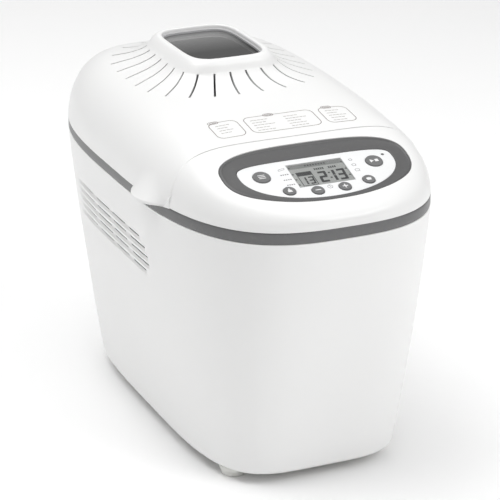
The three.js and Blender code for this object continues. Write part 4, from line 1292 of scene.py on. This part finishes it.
for end, side in (("front", -1), ("rear", 1)):
    faces = sorted((oven_y + side * 113.2, oven_y + side * 117.8))
    ear = box(f"pan_ear_{end}", (-8, faces[0], 195), (8, faces[1], 211), 1.4)
    cut_away(ear, drill(2.5, (0, faces[0], 203), 30, lying=True))
    finished(ear, non_stick)
    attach(ear, "pan")
skirt_rings = [oval_ring(a, b, z) for a, b, z in [
    (30.1, 82.1, 67.5), (32, 86, 85.7), (29, 83, 85.7), (27, 79, 67.5)]]
skirt = wrapped("pan_skirt_ring", skirt_rings + skirt_rings[:1])
finished(skirt, non_stick)
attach(skirt, "pan")
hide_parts("pan_skirt")

handle_half = [
    (0, 113.4, 203), (0, 117.8, 203), (0.9, 120.1, 203.3), (3.2, 121, 203.9), (20, 121, 209.3), (34, 121, 214),
    (40, 121, 214.5), (47, 120, 214.5), (50, 115, 214.5), (50, 107, 214.5)]
handle_path = [(x, oven_y - y, z) for x, y, z in handle_half]
handle_path += [(x, oven_y + y, z) for x, y, z in reversed(handle_half)]
handle = piped("pan_wire_handle", softened(handle_path), 2.15)
handle.data.materials.append(bright_steel)
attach(handle, "handle")
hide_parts("pan_handle")

# Paddles and pan shafts.
# Each paddle is a coated casting: a tapered hub with one leaning fin. It drops on a turned steel shaft.
hub_profile = [
    (4.35, 88.8), (9, 88.8), (9, 91), (8.6, 104), (8.2, 116), (7.6, 118), (6.4, 119), (4.35, 119), (4.35, 88.8)]
fin_outline = [
    (5.5, 0), (30, 0), (44, 0.1), (45, 3), (44.4, 7), (38, 15), (27, 20), (16, 23.5), (8, 26.5), (5.5, 27.5)]
for (end, y), side in zip(spindle_places.items(), (-1, 1)):
    hub = spun(f"paddle_{end}", hub_profile, (0, y, 0))
    fin = plates("fin", [softened(fin_outline, 1)], -2, 2, Matrix())
    rounding = fin.modifiers.new("rounding", "BEVEL")
    rounding.width = 0.0009
    rounding.segments = 3
    rounding.angle_limit = math.radians(50)
    apply(fin, rounding)
    stand = Matrix(((0, 0, 1, 0), (side, 0, 0, y / 1000), (0, 1, 0, 0.0888), (0, 0, 0, 1)))
    fin.data.transform(stand)
    bpy.context.view_layer.objects.active = hub
    union = hub.modifiers.new("cast", "BOOLEAN")
    union.operation = "UNION"
    union.object = fin
    union.solver = "EXACT"
    apply(hub, union)
    bpy.data.objects.remove(fin)
    cut_away(hub, drill(4.35, (0, y, 105), 50))
    finished(hub, non_stick, 40)
    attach(hub, f"paddle_{end}")
    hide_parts(f"kneading_paddle_{end}")

# Inner lid.
# A pressed steel tray under the dome, with a duct up to the window and a flat flange. Two pairs of
# white ears stand beside the notches and carry the hinge pins.
def in_lid(x, y):
    return -109 < y < 188 and abs(x) < dome_half_width(y) - 4.5


tray_levels = [
    (81.2, 131.2, 239.2, oven_y, 5), (80.8, 130.8, 239.9, oven_y, 5), (80.4, 130.4, 242, oven_y, 5),
    (78.8, 128.8, 258, oven_y, 5),
    (77.6, 127.7, 268, 38.4, 5), (75.8, 126.3, 274, 39, 5), (73, 124, 276.4, 39.4, 5),
    (66, 117.5, 279.6, 40.6, 5), (58.8, 110.8, 282.3, 42, 5), (46, 79, 284, 54, 4.8),
    (34.6, 49.6, 284.9, chimney_y, 4.5),
    (33, 48, 285.4, chimney_y, 4.5), (32.4, 47.5, 286.6, chimney_y, 4.5), (32.3, 47.4, 299.9, chimney_y, 4.5)]
tray_rings = [oval_ring(a, b, z, y, power, 288) for a, b, z, y, power in tray_levels]
tray_rings.insert(0, cast_out(tray_rings[0], in_lid))
tray = wrapped("lid_tray", tray_rings)
thicken(tray, 1.1, 1.0)
finished(tray, drawn_steel, 40)
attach(tray, "lid")
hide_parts("lid_liner")
ear_outline = [(195, 244), (208, 243.8), (208.9, 244.4), (208, 246.8), (205.5, 249.6), (202, 252), (195, 255)]
across_x = Matrix(((0, 0, 1, 0), (1, 0, 0, 0), (0, 1, 0, 0), (0, 0, 0, 1)))
for side, hand in ((-1, "left"), (1, "right")):
    for x in (side * hinge_x - 8.5, side * hinge_x + 4.6):
        ear_name = f"lid_ear_{hand}_{'inner' if side * x > 30 else 'outer'}"
        ear = plates(ear_name, [ear_outline], x, x + 3.9, across_x)
        ear.data.materials.append(white_plastic)
        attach(ear, "lid")

# Machinery.
# What stays behind the panels keeps the frame's own pressed, turned and moulded shapes. Shafts and
# bearings are turned steel, the chassis and motor can are zinc plated, pulleys are black nylon.
black_nylon = moulded_plastic("black_nylon_finish", (0.025, 0.025, 0.027), 0.5, depth=0.00002, tone=0.2)
belt_rubber = moulded_plastic(
    "belt_rubber_finish", (0.02, 0.02, 0.02), 0.8, grain=2400, depth=0.00004, tone=0.3)
board_green = moulded_plastic(
    "circuit_board_finish", (0.03, 0.13, 0.06), 0.35, grain=500, depth=0.00003, tone=0.4)
finishes = {
    drawn_steel: ["temperature_sensor", "spindle_bearing_front", "spindle_bearing_rear"],
    bright_steel: [
        "pan_shaft_front", "pan_shaft_rear", "drive_spindle_front", "drive_spindle_rear", "motor_rotor",
        "hinge_pin_left", "hinge_pin_right"] + [f"base_screw_{corner}" for corner in corner_signs],
    zinc_plate: ["drive_chassis", "motor_body", "hinge_bracket_left", "hinge_bracket_right"],
    black_nylon: ["driven_pulley", "timing_pulley_front", "timing_pulley_rear", "cord_gland"],
    belt_rubber: ["drive_belt", "timing_belt"],
    board_green: ["control_board", "power_board"],
    pale_plastic: ["base_plate"],
}
for material, names in finishes.items():
    for name in names:
        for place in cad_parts[name].material_slots:
            place.material = material
